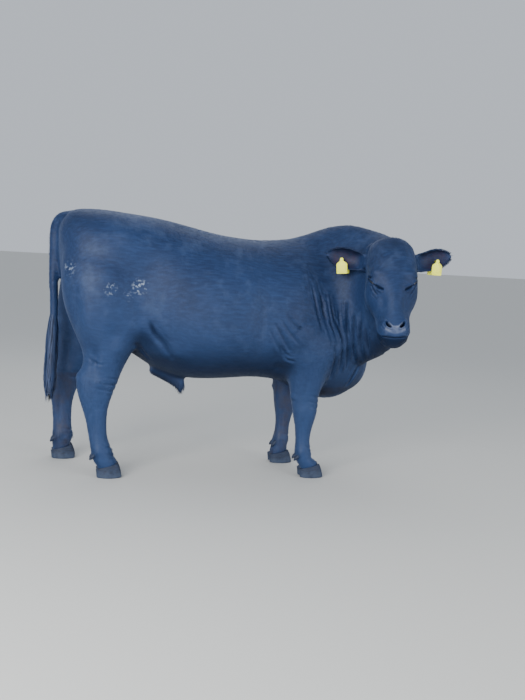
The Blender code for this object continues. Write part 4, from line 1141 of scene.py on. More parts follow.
def nose_leather_and_rim_highlight(co):
    """Bare leather of the nose, with a painted highlight along the rim that runs in a U between the
    nostrils.
    """
    left, out, down = mirrored(co).T
    top = 0.4660 - np.clip(left - 0.013, 0, 1) * 0.95
    low = 0.501 - 8.0 * left ** 2
    side = 0.029 + 0.55 * np.clip(down - 0.442, 0, 1)
    within = step(-left, -side - 0.003, -side + 0.004) * (out > -0.03)
    pad = 0.48 * step(down, top - 0.002, top + 0.006) * step(-down, -low - 0.004, -low + 0.004)
    # painted highlight: the rim takes the full pale leather, the rest of the pad about half
    rim = np.exp(-((down - top - 0.004) / 0.0045) ** 2)
    return within * np.maximum(pad, rim)


# %% Masks of colour and depth
def store(obj, name, values):
    """Keeps one number for each point as a named attribute."""
    attribute = obj.data.attributes.new(name, "FLOAT", "POINT")
    attribute.data.foreach_set("value", values.astype(np.float32))


def painted_warm_light_parts(co):
    """Painted warm light, brown, inside the legs and along the belly."""
    x, y, z = co.T
    inner_leg = np.zeros(len(co))
    for foot in LEGS:
        _, _, leg_y, half = leg_at(foot, z)
        mine = (z < 0.46) & (np.abs(y - leg_y) < half + 0.03)
        inner_leg += mine * step(-(y - leg_y) * outer_side(foot), 0.2 * half, half)
    belly = step(-z, -0.56, -0.46) * (x < 0.30) * (x > -0.45)
    return np.clip(inner_leg, 0, 1) * 0.7 + 0.3 * belly


def deep_parts(co, normal, creases):
    """Painted shade, the darkest colour of the coat: in creases, under belly and chest, between the jaws."""
    # painted shade on the faces that look down, under belly and chest
    under = step(-normal[:, 2], 0.12, 0.85) * step(co[:, 2], 0.36, 0.44)
    _, out, down = head_local(co).T
    at_chin = (out > -0.12) & around(co, on_head((0, 0, 0.5)), 0.13)
    chin = step(off_mouth(co)[0], -0.001, 0.006) * at_chin
    on_face = step(out, -0.12, -0.06) * (down < 0.62)
    lines = creases * (0.55 + 0.40 * on_face)
    return np.clip(np.maximum(lines, 0.80 * np.maximum(under, chin)), 0, 1)


# %% Store the masks
co, normal = points_of(skin), normals_of(skin)
creases = array_of(skin.data.attributes["creases"].data, "value", 1, np.float32)[:, 0]
# painted shade in creases and on undersides
deep = deep_parts(co, normal, creases)
store(skin, "deep", deep)
store(skin, "nose_leather_and_rim_highlight", nose_leather_and_rim_highlight(co))
store(skin, "ear_lining", ear_inside(co, normal))
store(skin, "painted_warm_light", painted_warm_light_parts(co))
store(skin, "leg", step(-co[:, 2], -0.66, -0.48))
left, out, down = head_local(co).T
within_head = (np.abs(left) < 0.22) & (down < 0.62)
store(skin, "face", step(out, -0.15, -0.08) * step(down, -0.05, 0.03) * within_head)
print("skin points", len(co))

# %% Place the skin
skin.data.shade_smooth()
skin.location = MOVE
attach(skin, "root")
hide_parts("torso", "neck", "head", "ear_right", "ear_left", "tail", "scrotum", "leg_fore_right",
            "leg_fore_left", "leg_hind_right", "leg_hind_left")
print("skin placed at", tuple(round(c, 3) for c in skin.location))

# %% [markdown]
# ## Materials
# Everything is painted from places on the object itself, so each pattern stays where it is
# from every side. Short hair is a noise drawn out along the way it lies, and it only moves the
# light. Streaks, dust, dried splashes, the wet nose and the lining of the ears are laid over
# the coat one after another, each with a share that says where it covers what is below.

# %% Grains of a real size
def grain(tree, place, size, detail=3.0):
    """A pattern whose grains measure the given metres, the same or other along X, Y and Z."""
    scale = tuple(1 / s for s in size) if isinstance(size, tuple) else (1 / size,) * 3
    spread = add(tree, "Mapping", {"Vector": place, "Scale": scale})
    return add(tree, "TexNoise", {"Vector": spread, "Scale": 1.0, "Detail": detail}, "Fac")


SPLASHES = (  # place, radius and strength of dried splashes on rump, thighs and chest
    ((-0.740, -0.240, 1.010), 0.048, 0.55), ((-0.540, -0.306, 0.925), 0.038, 0.55),
    ((-0.405, -0.287, 0.942), 0.046, 0.90), ((-0.460, -0.295, 0.895), 0.030, 0.40),
    ((0.560, -0.180, 0.490), 0.050, 0.25), ((-0.480, 0.300, 0.860), 0.055, 0.35))


def splashes(tree, place):
    """Mud and dung that has dried in small spots, close together round a few places."""
    parts = []
    for centre, radius, strength in SPLASHES:
        apart = add(tree, "VectorMath", (place, centre), "Value", operation="DISTANCE")
        parts.append(add(tree, "MapRange", (apart, radius, radius * 0.25, 0.0, strength)))
    total = parts[0]
    for part in parts[1:]:
        total = add(tree, "Math", (total, part), operation="MAXIMUM")
    spots = add(tree, "MapRange", (grain(tree, place, 0.014, 4.0), 0.53, 0.62))
    return add(tree, "Math", (total, spots), operation="MULTIPLY")


print("places with dried splashes", len(SPLASHES))


# %% Sleek black coat
# Short sleek hair on living hide. It is nearly black and satin, and takes the blue of the sky where
# light grazes it. Its colours are dark blues, with the blue of the sky's reflection painted in, and
# painted shade darkens its creases. The wet leather of the nose is smoother.
def coat_layers(tree, place, masks):
    """What lies over the plain coat, from below upwards: where it covers, and its colour."""
    streaks = grain(tree, place, (0.060, 0.006, 0.012), 4.0)
    dust = (grain(tree, place, 0.045, 6.0), grain(tree, place, 0.22))
    dust = add(tree, "Math", dust, operation="MULTIPLY")
    height = add(tree, "SeparateXYZ", (place,), "Z")
    blotchy = add(tree, "MapRange", (grain(tree, place, 0.05), 0.35, 0.65, 0.2, 0.8))
    lining = (grain(tree, place, 0.03),)
    lining = add(tree, "ValToRGB", lining, stops=((0.35, "#16172c"), (0.65, "#33243a")))
    leather = (grain(tree, place, 0.016),)
    leather = add(tree, "ValToRGB", leather, stops=((0.30, "#525c76"), (0.75, "#747e98")))
    return (
        (add(tree, "MapRange", (streaks, 0.40, 0.75, 0.0, 0.35)), "#2d4673"),     # streaks of hair
        (add(tree, "MapRange", (dust, 0.26, 0.44, 0.0, 0.22)), "#4d5f82"),        # dust
        (add(tree, "MapRange", (height, 1.05, 0.40, 0.0, 0.60)), "#2d446c"),      # paler towards the legs
        (splashes(tree, place), "#93a1b6"),
        # painted warm light, brown, in blotches inside the legs and along the belly
        (add(tree, "Math", (masks["painted_warm_light"], blotchy), operation="MULTIPLY"), "#3b3436"),
        (add(tree, "Math", (masks["ear_lining"], 0.70), operation="MULTIPLY"), lining),
        # nose leather, with a painted highlight along its rim
        (masks["nose_leather_and_rim_highlight"], leather),
        # painted shade: near black in creases and on undersides
        (add(tree, "Math", (masks["deep"], 0.90), operation="MULTIPLY"), "#030b1e"))


# %% Relief of the coat
def coat_relief(tree, place, masks):
    """Hair along the body, down the legs and short on the face, and the plates of the nose."""
    # a hair is about 0.05 mm wide, too fine to show, so it is drawn as locks 2 to 4 mm wide
    hair = grain(tree, place, (0.030, 0.0022, 0.0040))
    for part, size in (("leg", (0.0022, 0.0022, 0.022)), ("face", (0.0022, 0.0022, 0.012))):
        hair = add(tree, "Mix", {0: masks[part], 6: hair, 7: grain(tree, place, size)}, 2, data_type="RGBA")
    # the plates of a bull's nose are about 3 mm across
    plates = add(tree, "TexVoronoi", {"Vector": place, "Scale": 1 / 0.0032}, "Distance")
    plates = add(tree, "Math", (plates, masks["nose_leather_and_rim_highlight"]), operation="MULTIPLY")
    relief = add(tree, "Bump", {"Height": hair, "Strength": 0.55, "Distance": 0.0012})
    for height, strength, distance in ((grain(tree, place, 0.035), 0.35, 0.004), (plates, 0.5, 0.0012)):
        relief = add(tree, "Bump", {"Height": height, "Strength": strength, "Distance": distance,
                                    "Normal": relief})
    return relief


# %% Coat, nose and ear lining in one material
def coat_material():
    """Coat, nose leather and ear lining on one skin, told apart by its masks."""
    made, tree, shader, place = new_material("sleek black coat")
    masks = {name: add(tree, "Attribute", out="Fac", attribute_name=name)
             for name in ("leg", "face", "nose_leather_and_rim_highlight", "ear_lining", "painted_warm_light", "deep")}
    # the coat is black; its dark blue base colour paints in the blue of the sky reflected on it
    colour = add(tree, "ValToRGB", (grain(tree, place, 0.30),), stops=((0.30, "#10203f"), (0.70, "#1a2e52")))
    for share, over in coat_layers(tree, place, masks):
        colour = add(tree, "Mix", {0: share, 6: colour, 7: over}, 2, data_type="RGBA")
    fill(tree, shader, {
        "Base Color": colour,
        "Roughness": add(tree, "MapRange", (masks["nose_leather_and_rim_highlight"], 0.0, 1.0, 0.52, 0.34)),
        "Specular IOR Level": add(tree, "MapRange", (masks["deep"], 0.0, 1.0, 0.25, 0.06)),
        "Sheen Weight": add(tree, "MapRange", (masks["deep"], 0.0, 1.0, 0.22, 0.02)),
        "Sheen Roughness": 0.45,
        "Sheen Tint": "#8ea6d4",
        "Normal": coat_relief(tree, place, masks),
    })
    return made


coat = coat_material()
skin.data.materials.clear()
skin.data.materials.append(coat)
print("nodes in the coat", len(coat.node_tree.nodes))

# %% [markdown]
# ## Hooves and dewclaws
# Horn grows down from the coronet, a few millimetres a month, in rings that never lie quite
# level. Each claw is a half moon on the floor that narrows to its toe, with a slit between
# the two. Behind each fetlock hang two dewclaws, small horns that don't reach the floor.

# %% Horn
# Hoof horn, grown in layers and rubbed dull by grit. It is dark slate, paler with mud below.
def horn_material():
    """Dark horn with a grain that runs down, and mud on its lowest three centimetres."""
    made, tree, shader, place = new_material("dull hoof horn")
    layers = grain(tree, place, (0.020, 0.020, 0.004))
    colour = add(tree, "ValToRGB", (layers,), stops=((0.3, "#101a2e"), (0.7, "#1e2f4c")))
    low = add(tree, "MapRange", (add(tree, "SeparateXYZ", (place,), "Z"), 0.075, 0.010))
    mud = add(tree, "Math", (low, grain(tree, place, 0.018, 5.0)), operation="MULTIPLY")
    share = add(tree, "MapRange", (mud, 0.25, 0.50, 0.0, 0.45))
    fibres = grain(tree, place, (0.004, 0.004, 0.030))     # horn tubules, drawn ten times coarser
    fill(tree, shader, {
        "Base Color": add(tree, "Mix", {0: share, 6: colour, 7: "#42516a"}, 2, data_type="RGBA"),
        "Roughness": 0.6,
        "Normal": add(tree, "Bump", {"Height": fibres, "Strength": 0.4, "Distance": 0.0006}),
    })
    return made


horn = horn_material()
print("made", horn.name)

# %% Claws
SOLE_HALF = 0.060       # half length of a sole
CLAW_HALF = 0.0255      # half width of one claw
CLAW_SPLIT = 0.004      # between the two
CLAW_LEVELS = ((0.00, 0.93, 0.000), (0.10, 1.00, 0.001), (0.55, 0.95, -0.004), (1.00, 0.86, -0.012))
RING_HEIGHT = 0.0003    # how far a growth ring stands out


def claw(foot, side):
    """One claw of a foot, flat on the floor, with growth rings, under the slope of the coronet."""
    x, y = FEET[foot]
    middle = y + side * (CLAW_HALF + CLAW_SPLIT / 2)
    angle = np.linspace(0, 2 * math.pi, 44, endpoint=False)
    rings = []
    for level, size, back in catmull(CLAW_LEVELS, 26):
        level = float(np.clip(level, 0, 1))
        size -= 0.03 * math.exp(-level / 0.012)
        along = SOLE_HALF * size * np.cos(angle)
        narrow = 1 - 0.30 * np.clip(np.cos(angle), 0, 1) ** 2
        across = CLAW_HALF * size * np.sin(angle) * narrow
        across = np.where(across * side < 0, across * 0.92, across)
        wave = math.sin(level * 46 + 1.3 * math.sin(level * 9))
        ripple = 1 + RING_HEIGHT / CLAW_HALF * wave * min(1, 4 * level)
        rim = CORONET + CORONET_SLOPE * (along + back)
        rings.append(np.column_stack([x + back + along * ripple, middle + across * ripple, level * rim]))
    return tube(rings)


print("sole", round(2000 * SOLE_HALF), "mm long, claw", round(2000 * CLAW_HALF), "mm wide")

# %% Dewclaws
DEWCLAW = ((-0.012, 0.012), (0.006, 0.013), (0.018, 0.010), (0.026, 0.004))     # drop and radius
DEWCLAW_AT = 0.112      # height above the floor


def dewclaws(foot):
    """Two small horns behind a fetlock."""
    y = FEET[foot][1]
    rear = leg_at(foot, DEWCLAW_AT)[0]
    horns = []
    for side in (-1, 1):
        rings = []
        angle = np.linspace(0, 2 * math.pi, 20, endpoint=False)
        for drop, radius in catmull(DEWCLAW, 12):
            place = np.array([rear + 0.016 - drop * 0.75, y + side * 0.024, DEWCLAW_AT - drop])
            radius *= 1 + 0.03 * math.sin(drop * 900)
            rings.append(place + np.column_stack([np.cos(angle), np.sin(angle), np.zeros(20)]) * radius)
        horns.append(tube(rings))
    return horns


# %% Place hooves and dewclaws
def place_piece(obj, material):
    """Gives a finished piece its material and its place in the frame."""
    obj.data.materials.append(material)
    obj.location = MOVE
    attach(obj, "root")


def set_piece(obj, material):
    """The same for a piece with a smooth surface."""
    obj.data.shade_smooth()
    place_piece(obj, material)


for foot in FEET:
    for side, label in ((-1, "right"), (1, "left")):
        piece = solid(f"horn_{foot}_{label}", *claw(foot, side))
        set_piece(piece, horn)
        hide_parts(f"claw_{foot}_{label}")
spurs = solid("dewclaws", *pile([horns for foot in FEET for horns in dewclaws(foot)]))
set_piece(spurs, horn)
print("claws", 2 * len(FEET), "dewclaws", 2 * len(FEET))

# %% [markdown]
# ## Eyes
# The bull looks out through nearly closed lids. Behind them is a whole eyeball, with the
# cornea bulging over a dark brown iris and a pupil that lies level. Even a narrow slit of it
# catches a wet glint, and that glint is what makes an animal look awake.

# %% Wet dark eye
# An eyeball under a film of tears. Its brown iris and black pupil are dull below a clear gloss.
def eye_material():
    """Brownish white, dark brown iris and black pupil, told apart by the iris mask."""
    made, tree, shader, _ = new_material("wet dark eye")
    iris = add(tree, "Attribute", out="Fac", attribute_name="iris")
    rings = ((0.05, "#242022"), (0.20, "#120d0b"), (0.55, "#1c130e"), (0.80, "#050404"))
    fill(tree, shader, {"Base Color": add(tree, "ValToRGB", (iris,), stops=rings), "Roughness": 0.10,
                        "Coat Weight": 1.0, "Coat Roughness": 0.03})
    return made


wet = eye_material()
print("made", wet.name)


# %% Eyeballs
def make_eye(side):
    """An eyeball with its cornea bulging, behind the slit of the lids."""
    verts, faces = ball(on_side(EYE, side), (EYE_RADIUS - 0.0004,) * 3, eye_axes(side), sides=64)
    away = (verts - on_side(EYE, side)) / EYE_RADIUS
    along, across, out = (away @ eye_axes(side).T).T
    cornea = step(out, 0.62, 0.90)
    verts = verts + away * (0.0016 * cornea)[:, None]
    eye = solid("eyeball_left" if side > 0 else "eyeball_right", verts, faces)
    oval = np.sqrt((along / 0.42) ** 2 + (across / 0.24) ** 2)
    iris = step(out, 0.70, 0.80) * 0.55 + 0.45 * step(-oval, -1.1, -0.9) * (out > 0.6)
    store(eye, "iris", iris)
    set_piece(eye, wet)
    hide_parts("eye_left" if side > 0 else "eye_right")


for side in (-1, 1):
    make_eye(side)
print("eyeballs", 2, "of", round(2000 * EYE_RADIUS), "mm")

# %% [markdown]
# ## Ear tags
# A farm tag is two soft plastic plates on one pin. Its corners are rounded, so that they don't
# catch and tear the ear, and a narrow neck carries the pin. Each plate is drawn as an outline
# with short curves for corners, and is given a thickness with softened edges.

# %% Yellow tag plastic
# Soft polyurethane, moulded with a satin skin that the weather has dulled. Bright, with grime.
def tag_material():
    """Bright yellow with a little grime in spots."""
    made, tree, shader, place = new_material("yellow tag plastic")
    blotchy = add(tree, "ValToRGB", (grain(tree, place, 0.02),), stops=((0.3, "#fafc3c"), (0.7, "#ffff60")))
    grime = add(tree, "MapRange", (grain(tree, place, 0.009, 6.0), 0.62, 0.74, 0.0, 0.25))
    colour = add(tree, "Mix", {0: grime, 6: blotchy, 7: "#8f9a52"}, 2, data_type="RGBA")
    fill(tree, shader, {"Base Color": colour, "Roughness": 0.42})
    return made


plastic = tag_material()
print("made", plastic.name)

# %% Tag plates
TAG_WIDTH, TAG_THICK = 0.054, 0.0022
TAG_SIDES, TAG_PEAK = 0.049, 0.069      # height of the straight sides, and down from the pin
TAG_NECK = 0.009                        # half width round the pin
TAG_REACH, TAG_DROP = 0.126, 0.010      # place of the pin along the ear and below its middle
TAG_SWING = math.radians(15)            # the lower end swings to the head
STUD = ((-0.001, 0.0045), (0.0, 0.0088), (0.0030, 0.0088), (0.0042, 0.0078), (0.0046, 0.0050),
        (0.0040, 0.0030))               # level and radius of the pin's head


def rounded(points, radius, steps=5):
    """An outline with its corners replaced by short curves."""
    points = np.array(points)
    out = []
    for before, corner, after in zip(np.roll(points, 1, 0), points, np.roll(points, -1, 0)):
        to, on = before - corner, after - corner
        cut = min(radius, 0.45 * np.linalg.norm(to), 0.45 * np.linalg.norm(on))
        start = corner + to / np.linalg.norm(to) * cut
        end = corner + on / np.linalg.norm(on) * cut
        for t in np.linspace(0, 1, steps):
            out.append((1 - t) ** 2 * start + 2 * t * (1 - t) * corner + t * t * end)
    return np.array(out)


def tag_plate(pin, across, up, out, reach):
    """A house-shaped plate that hangs below its pin, which reaches back to the ear."""
    w, neck = TAG_WIDTH / 2, TAG_NECK
    shoulder = TAG_SIDES - TAG_PEAK
    outline = rounded([(-w, -TAG_PEAK), (w, -TAG_PEAK), (w, shoulder), (neck, -0.006), (neck * 0.9, neck),
                       (-neck * 0.9, neck), (-neck, -0.006), (-w, shoulder)], 0.006)
    middle = outline.mean(axis=0)
    rings = []
    for level, shrink in ((0.0, 0.975), (0.25, 1.0), (0.75, 1.0), (1.0, 0.975)):
        flat = middle + (outline - middle) * shrink
        bow = 0.0015 * (flat[:, 0] / w) ** 2
        rings.append(pin + np.outer(flat[:, 0], across) + np.outer(flat[:, 1], up)
                     + np.outer(level * TAG_THICK - bow, out))
    angle = np.linspace(0, 2 * math.pi, 28, endpoint=False)
    ring = np.outer(np.cos(angle), across) + np.outer(np.sin(angle), up)
    stud = []
    for level, radius in ((-reach, STUD[0][1]), *STUD):
        stud.append(pin + radius * ring + out * level)
    return pile([tube(rings), tube(stud)])


def make_tag(side, label):
    """The two plates of a tag, one in the cup of the ear and one behind it."""
    root, along, height, front = ear_frame(side)
    pin = root + along * TAG_REACH - height * TAG_DROP
    up = height * math.cos(TAG_SWING) + along * math.sin(TAG_SWING)
    across = along * math.cos(TAG_SWING) - height * math.sin(TAG_SWING)
    behind = max(cup for _, _, cup, _ in EAR)
    for name, out, offset, reach in (("front", front, 0.010, 0.040),
                                     ("back", -front, behind + 0.003, 0.008)):
        plate = solid(f"plate_{label}_{name}", *tag_plate(pin + out * offset, across, up, out, reach))
        set_piece(plate, plastic)
        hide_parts(f"tag_{label}_{name}")


for side, label in ((-1, "right"), (1, "left")):
    make_tag(side, label)
print("tag plates", 4, "each", round(1000 * TAG_WIDTH), "mm wide")

# %% [markdown]
# ## Tufts of hair
# Hair stands clear of the skin only in places: at the rims of the ears, on the poll and crest,
# under the belly and brisket, behind the fetlocks and in the switch of the tail. Elsewhere it
# lies in short flat tufts. Each tuft is a thin pointed blade with three sides, its root in
# the skin. All the blades of a region are one mesh, built from arrays so that it is quick.

# %% Blades
PATCH = 0.003     # width of a tuft's patch on the unwrapped skin
PATCH_SHAPE = ((-1.0, -1.0), (1.0, -1.0), (0.0, -0.7), (-0.6, 0.1), (0.6, 0.1), (0.0, 0.3))


def unit(vectors):
    """Vectors of length 1."""
    return vectors / np.maximum(np.linalg.norm(vectors, axis=1), 1e-9)[:, None]


def blades(name, paths, outs, widths, flatness, uv, marks):
    """One mesh of many three-sided blades along short paths, each ending in a point. Their
    normals lean towards the skin's, as a coat shades like the body under it."""
    count, stops, _ = paths.shape
    side = unit(np.cross(paths[:, -1] - paths[:, 0], outs))
    per = 3 * (stops - 1) + 1
    verts = np.empty((count, per, 3))
    for i in range(stops - 1):
        w = widths[:, i, None]
        verts[:, 3 * i] = paths[:, i] - side * w / 2
        verts[:, 3 * i + 1] = paths[:, i] + side * w / 2
        verts[:, 3 * i + 2] = paths[:, i] + outs * w * flatness
    verts[:, -1] = paths[:, -1]
    shade = np.repeat(outs[:, None], per, axis=1)
    shade[:, 0:-1:3] -= 0.30 * side[:, None]
    shade[:, 1:-1:3] += 0.30 * side[:, None]
    one = [(0, 1, 2)]
    for i in range(stops - 2):
        for p, q in ((0, 1), (1, 2), (2, 0)):
            a, b = 3 * i + p, 3 * i + q
            one += [(a, a + 3, b + 3), (a, b + 3, b)]
    last = 3 * (stops - 2)
    one += [(last + p, per - 1, last + q) for p, q in ((0, 1), (1, 2), (2, 0))]
    tris = (np.array(one)[None] + per * np.arange(count)[:, None, None]).reshape(-1, 3)
    mesh = bpy.data.meshes.new(name)
    mesh.vertices.add(count * per)
    mesh.vertices.foreach_set("co", verts.ravel())
    mesh.loops.add(tris.size)
    mesh.loops.foreach_set("vertex_index", tris.ravel().astype(np.int32))
    mesh.polygons.add(len(tris))
    mesh.polygons.foreach_set("loop_start", np.arange(0, tris.size, 3, dtype=np.int32))
    mesh.update(calc_edges=True)
    shape = np.array([PATCH_SHAPE[min(k, 5)] if k < per - 1 else (0.0, 1.0) for k in range(per)])
    places = (uv[:, None, :] + shape[None] * PATCH / 2).reshape(-1, 2)
    layer = mesh.uv_layers.new(name="OFBake")
    layer.data.foreach_set("uv", places[tris.ravel()].astype(np.float32).ravel())
    obj = bpy.data.objects.new(name, mesh)
    scene.collection.objects.link(obj)
    for mark, values in marks.items():
        store(obj, mark, np.repeat(values, per))
    mesh.shade_smooth()
    mesh.normals_split_custom_set_from_vertices(unit(shade.reshape(-1, 3)))
    return obj


print("patches of tufts across the unwrap", round(1 / PATCH))

# %% Roots on the hide
class Hide:
    """The skin as arrays, ready to scatter roots over it."""

    def __init__(self, obj, marks):
        self.co, self.normal = points_of(obj), normals_of(obj)
        self.marks = marks
        obj.data.calc_loop_triangles()
        self.tris = array_of(obj.data.loop_triangles, "vertices", 3, np.int32)
        a, b, c = (self.co[self.tris[:, k]] for k in range(3))
        self.area = np.linalg.norm(np.cross(b - a, c - a), axis=1) / 2
        self.middle = (a + b + c) / 3

    def roots(self, weight, count, rng):
        """Places, normals and markings of roots, spread by area and weight."""
        share = np.cumsum(self.area * weight)
        picked = np.searchsorted(share, rng.random(count) * share[-1])
        r, s = rng.random((2, count))
        flip = r + s > 1
        r, s = np.where(flip, 1 - r, r), np.where(flip, 1 - s, s)
        a, b, c = (self.tris[picked, k] for k in range(3))
        weights = (1 - r - s, r, s)
        co = sum(w[:, None] * self.co[i] for w, i in zip(weights, (a, b, c)))
        normal = sum(w[:, None] * self.normal[i] for w, i in zip(weights, (a, b, c)))
        marks = {name: sum(w * values[i] for w, i in zip(weights, (a, b, c)))
                 for name, values in self.marks.items()}
        return co, unit(normal), marks


# the tufts carry the painted warm light and the painted shade of the skin at their roots
hide = Hide(skin, {"painted_warm_light": painted_warm_light_parts(co), "deep": deep})
print("area of the hide", round(float(hide.area.sum()), 2), "square metres")


# %% The way the hair lies
def lie(co, normal):
    """The way the hair lies: back along the trunk, down the legs, out along the ears."""
    way = np.tile((-1.0, 0.0, -0.35), (len(co), 1))
    x, _, z = co.T
    way += step(-z, -0.62, -0.45)[:, None] * np.array([0.8, 0.0, -2.0])
    way += step(x, 0.62, 0.80)[:, None] * np.array([0.3, 0.5, -0.9])
    way[x < -0.79] = (0.0, 0.0, -1.0)
    face = head_local(co)
    on_face = (step(face[:, 1], -0.16, -0.08) * step(face[:, 2], -0.05, 0.02))[:, None]
    downwards = step(face[:, 2], 0.10, 0.16)[:, None] * 2 - 1
    facing = HEAD_AXES[2] * downwards + 3.0 * face[:, :1] * HEAD_AXES[0]
    way = way * (1 - on_face) + facing * on_face
    for side in (-1, 1):
        root, along, _, _ = ear_frame(side)
        reach = (co - root) @ along
        ear = (reach > 0.025) & (np.linalg.norm(co - root, axis=1) < 0.24) & (face[:, 0] * side > 0.125)
        way[ear] = along
    way -= normal * (way * normal).sum(axis=1)[:, None]
    return unit(way)


# %% Length of the hair, and where none grows
COAT_LENGTH = 0.013
LONGER = (  # place, reach and extra length of the hair in millimetres
    (on_head((0.0, 0.03, 0.03)), (0.07, 0.07, 0.06), 9), ((0.70, -0.10, 1.30), (0.20, 0.12, 0.05), 5),
    ((-0.25, 0.0, 0.46), (0.30, 0.16, 0.06), 12), ((-0.16, 0.0, 0.42), (0.05, 0.05, 0.05), 24),
    ((0.66, 0.0, 0.40), (0.14, 0.16, 0.06), 10), ((-0.53, 0.0, 0.45), (0.06, 0.06, 0.05), 5),
    ((-0.70, 0.0, 0.85), (0.08, 0.12, 0.20), 8))


def hair_length(co):
    """Length in metres: shorter on legs and face, longer under the body and behind the fetlocks."""
    x, y, z = co.T
    _, out, down = head_local(co).T
    size = np.full(len(co), COAT_LENGTH)
    size -= 0.005 * step(-z, -0.60, -0.45)
    size -= 0.006 * (step(out, -0.16, -0.08) * step(down, 0.06, 0.12))
    for place, reach, extra in LONGER:
        size += extra / 1000 * near(co, place, reach)
    for foot in FEET:
        rear, front, leg_y, half = leg_at(foot, z)
        behind = step((rear + front) / 2 - x, 0.0, 0.03) * (np.abs(y - leg_y) < half + 0.02)
        size += 0.012 * behind * np.exp(-((z - 0.125) / 0.035) ** 2) + 0.004 * behind * (z < 0.5)
    return size


def bare(co):
    """1 where no tuft grows: nose pad, lips, nostrils, lids, slits of the eyes, ends of the legs."""
    face = mirrored(co)
    none = nose_leather_and_rim_highlight(co) > 0.2
    none |= np.linalg.norm(face - np.array(EYE), axis=1) < EYE_RADIUS + 0.009
    none |= np.linalg.norm(face - np.array(NOSTRIL), axis=1) < 0.030
    off, fade = off_mouth(co)
    none |= (fade > 0.1) & (np.abs(off) < 0.009)
    for x, y in FEET.values():
        over = co[:, 2] - (CORONET + CORONET_SLOPE * (co[:, 0] - x))
        none |= (over < 0.001) & (np.abs(co[:, 0] - x) < 0.12) & (np.abs(co[:, 1] - y) < 0.09)
    return none


sizes = hair_length(hide.middle)
print("hair from", round(1000 * float(sizes.min())), "to", round(1000 * float(sizes.max())), "mm")


# %% Unwrap of the hide
# Materials can be baked into a flat picture of the hide, and each tuft needs its own small
# patch there, at the place of its root.
def unwrap(co, region):
    """Place of each root on the unrolled skin of its region, each region in its own field."""
    low, high, turn, length = region
    u = low[0] + (high[0] - low[0]) * np.clip(turn(co), 0, 1)
    v = low[1] + (high[1] - low[1]) * np.clip(length(co), 0, 1)
    return np.column_stack([u, v])


def round_axis(a, b, ca, cb):
    """Turn of a place round an axis that runs through two coordinates."""
    return lambda co: 0.5 + np.arctan2(co[:, b] - cb, co[:, a] - ca) / (2 * math.pi)


def round_leg(foot):
    """Turn of a place round the middle of a leg."""
    def turn(co):
        rear, front, y, half = leg_at(foot, co[:, 2])
        along = 2 * (co[:, 0] - (rear + front) / 2) / (front - rear)
        return 0.5 + np.arctan2((co[:, 1] - y) / half, along) / (2 * math.pi)
    return turn


def round_head(co):
    """Turn of a place round the length of the head."""
    left, out, _ = head_local(co).T
    return 0.5 + np.arctan2(left, out + 0.05) / (2 * math.pi)


UNWRAPS = {  # lowest and highest corner of the field, turn and length
    "trunk": ((0.01, 0.01), (0.99, 0.45), round_axis(1, 2, 0.0, 0.85), lambda co: (co[:, 0] + 0.86) / 1.75),
    "head": ((0.01, 0.47), (0.49, 0.79), round_head, lambda co: (head_local(co)[:, 2] + 0.08) / 0.66),
    "ears": ((0.01, 0.81), (0.49, 0.99), lambda co: (head_local(co)[:, 0] + 0.35) / 0.70,
             lambda co: (head_local(co)[:, 2] + 0.05) / 0.25),
    "switch": ((0.51, 0.81), (0.98, 0.99), round_axis(0, 1, -0.822, 0.0),
               lambda co: (co[:, 2] - 0.30) / 0.40),
}
for k, foot in enumerate(FEET):
    low = 0.51 + 0.12 * k
    UNWRAPS[f"leg_{foot}"] = ((low, 0.47), (low + 0.11, 0.79), round_leg(foot), lambda co: co[:, 2] / 0.7)
print("fields of the unwrap", len(UNWRAPS))


# %% Tufts
def tufts(name, field, weight, count, seed, grow=1.0, stand=0.06, width=0.0026):
    """Tufts over the part of the skin that has weight, lying along the body."""
    rng = np.random.default_rng(seed)
    weight = np.where(bare(hide.middle), 0, weight)
    root, normal, marks = hide.roots(weight, count, rng)
    way = lie(root, normal)
    turn = rng.normal(0, 0.16, count)
    way = way * np.cos(turn)[:, None] + np.cross(normal, way) * np.sin(turn)[:, None]
    size = hair_length(root) * grow * rng.uniform(0.75, 1.25, count)
    lift = stand * size * rng.uniform(0.5, 1.4, count)
    paths = np.empty((count, 3, 3))
    paths[:, 0] = root - normal * 0.0012
    paths[:, 1] = root + way * (0.50 * size)[:, None] + normal * (0.0002 + 0.75 * lift)[:, None]
    paths[:, 2] = root + way * size[:, None] + normal * (0.9 * lift)[:, None]
    wide = width * rng.uniform(0.7, 1.2, count)
    widths = np.column_stack([wide, wide * 0.8])
    obj = blades(name, paths, normal, widths, 0.16, unwrap(root, UNWRAPS[field]), marks)
    place_piece(obj, coat)
    return len(obj.data.polygons)


# %% Grow the coat
x, y, z = hide.middle.T
left, out, down = head_local(hide.middle).T
ears = (np.abs(left) > 0.135) & (down < 0.22) & (down > -0.04) & (out < 0.06) & (out > -0.16)
on_head_part = (np.abs(left) < 0.17) & (out > -0.17) & (down > -0.03) & (down < 0.60) & ~ears
legs = np.zeros(len(x), dtype=bool)
for foot in FEET:
    rear, front, leg_y, half = leg_at(foot, z)
    beside = np.abs(x - (rear + front) / 2) < (front - rear) / 2 + 0.04
    legs |= (z < 0.48) & (np.abs(y - leg_y) < half + 0.035) & beside
trunk = ~ears & ~on_head_part & ~legs
longer = 1 + 60 * np.maximum(hair_length(hide.middle) - 0.014, 0)
TRUNK_TUFTS, HEAD_TUFTS, EAR_TUFTS, LEG_TUFTS = 16500, 17500, 5500, 4300      # in each piece
grown = 0
for seed, part, rear, front in ((1, "rump", -9, -0.48), (2, "ribs", -0.48, 0.05),
                                (3, "shoulder", 0.05, 0.52), (4, "neck", 0.52, 9)):
    grown += tufts(f"coat_{part}", "trunk", trunk * (x >= rear) * (x < front) * longer, TRUNK_TUFTS, seed)
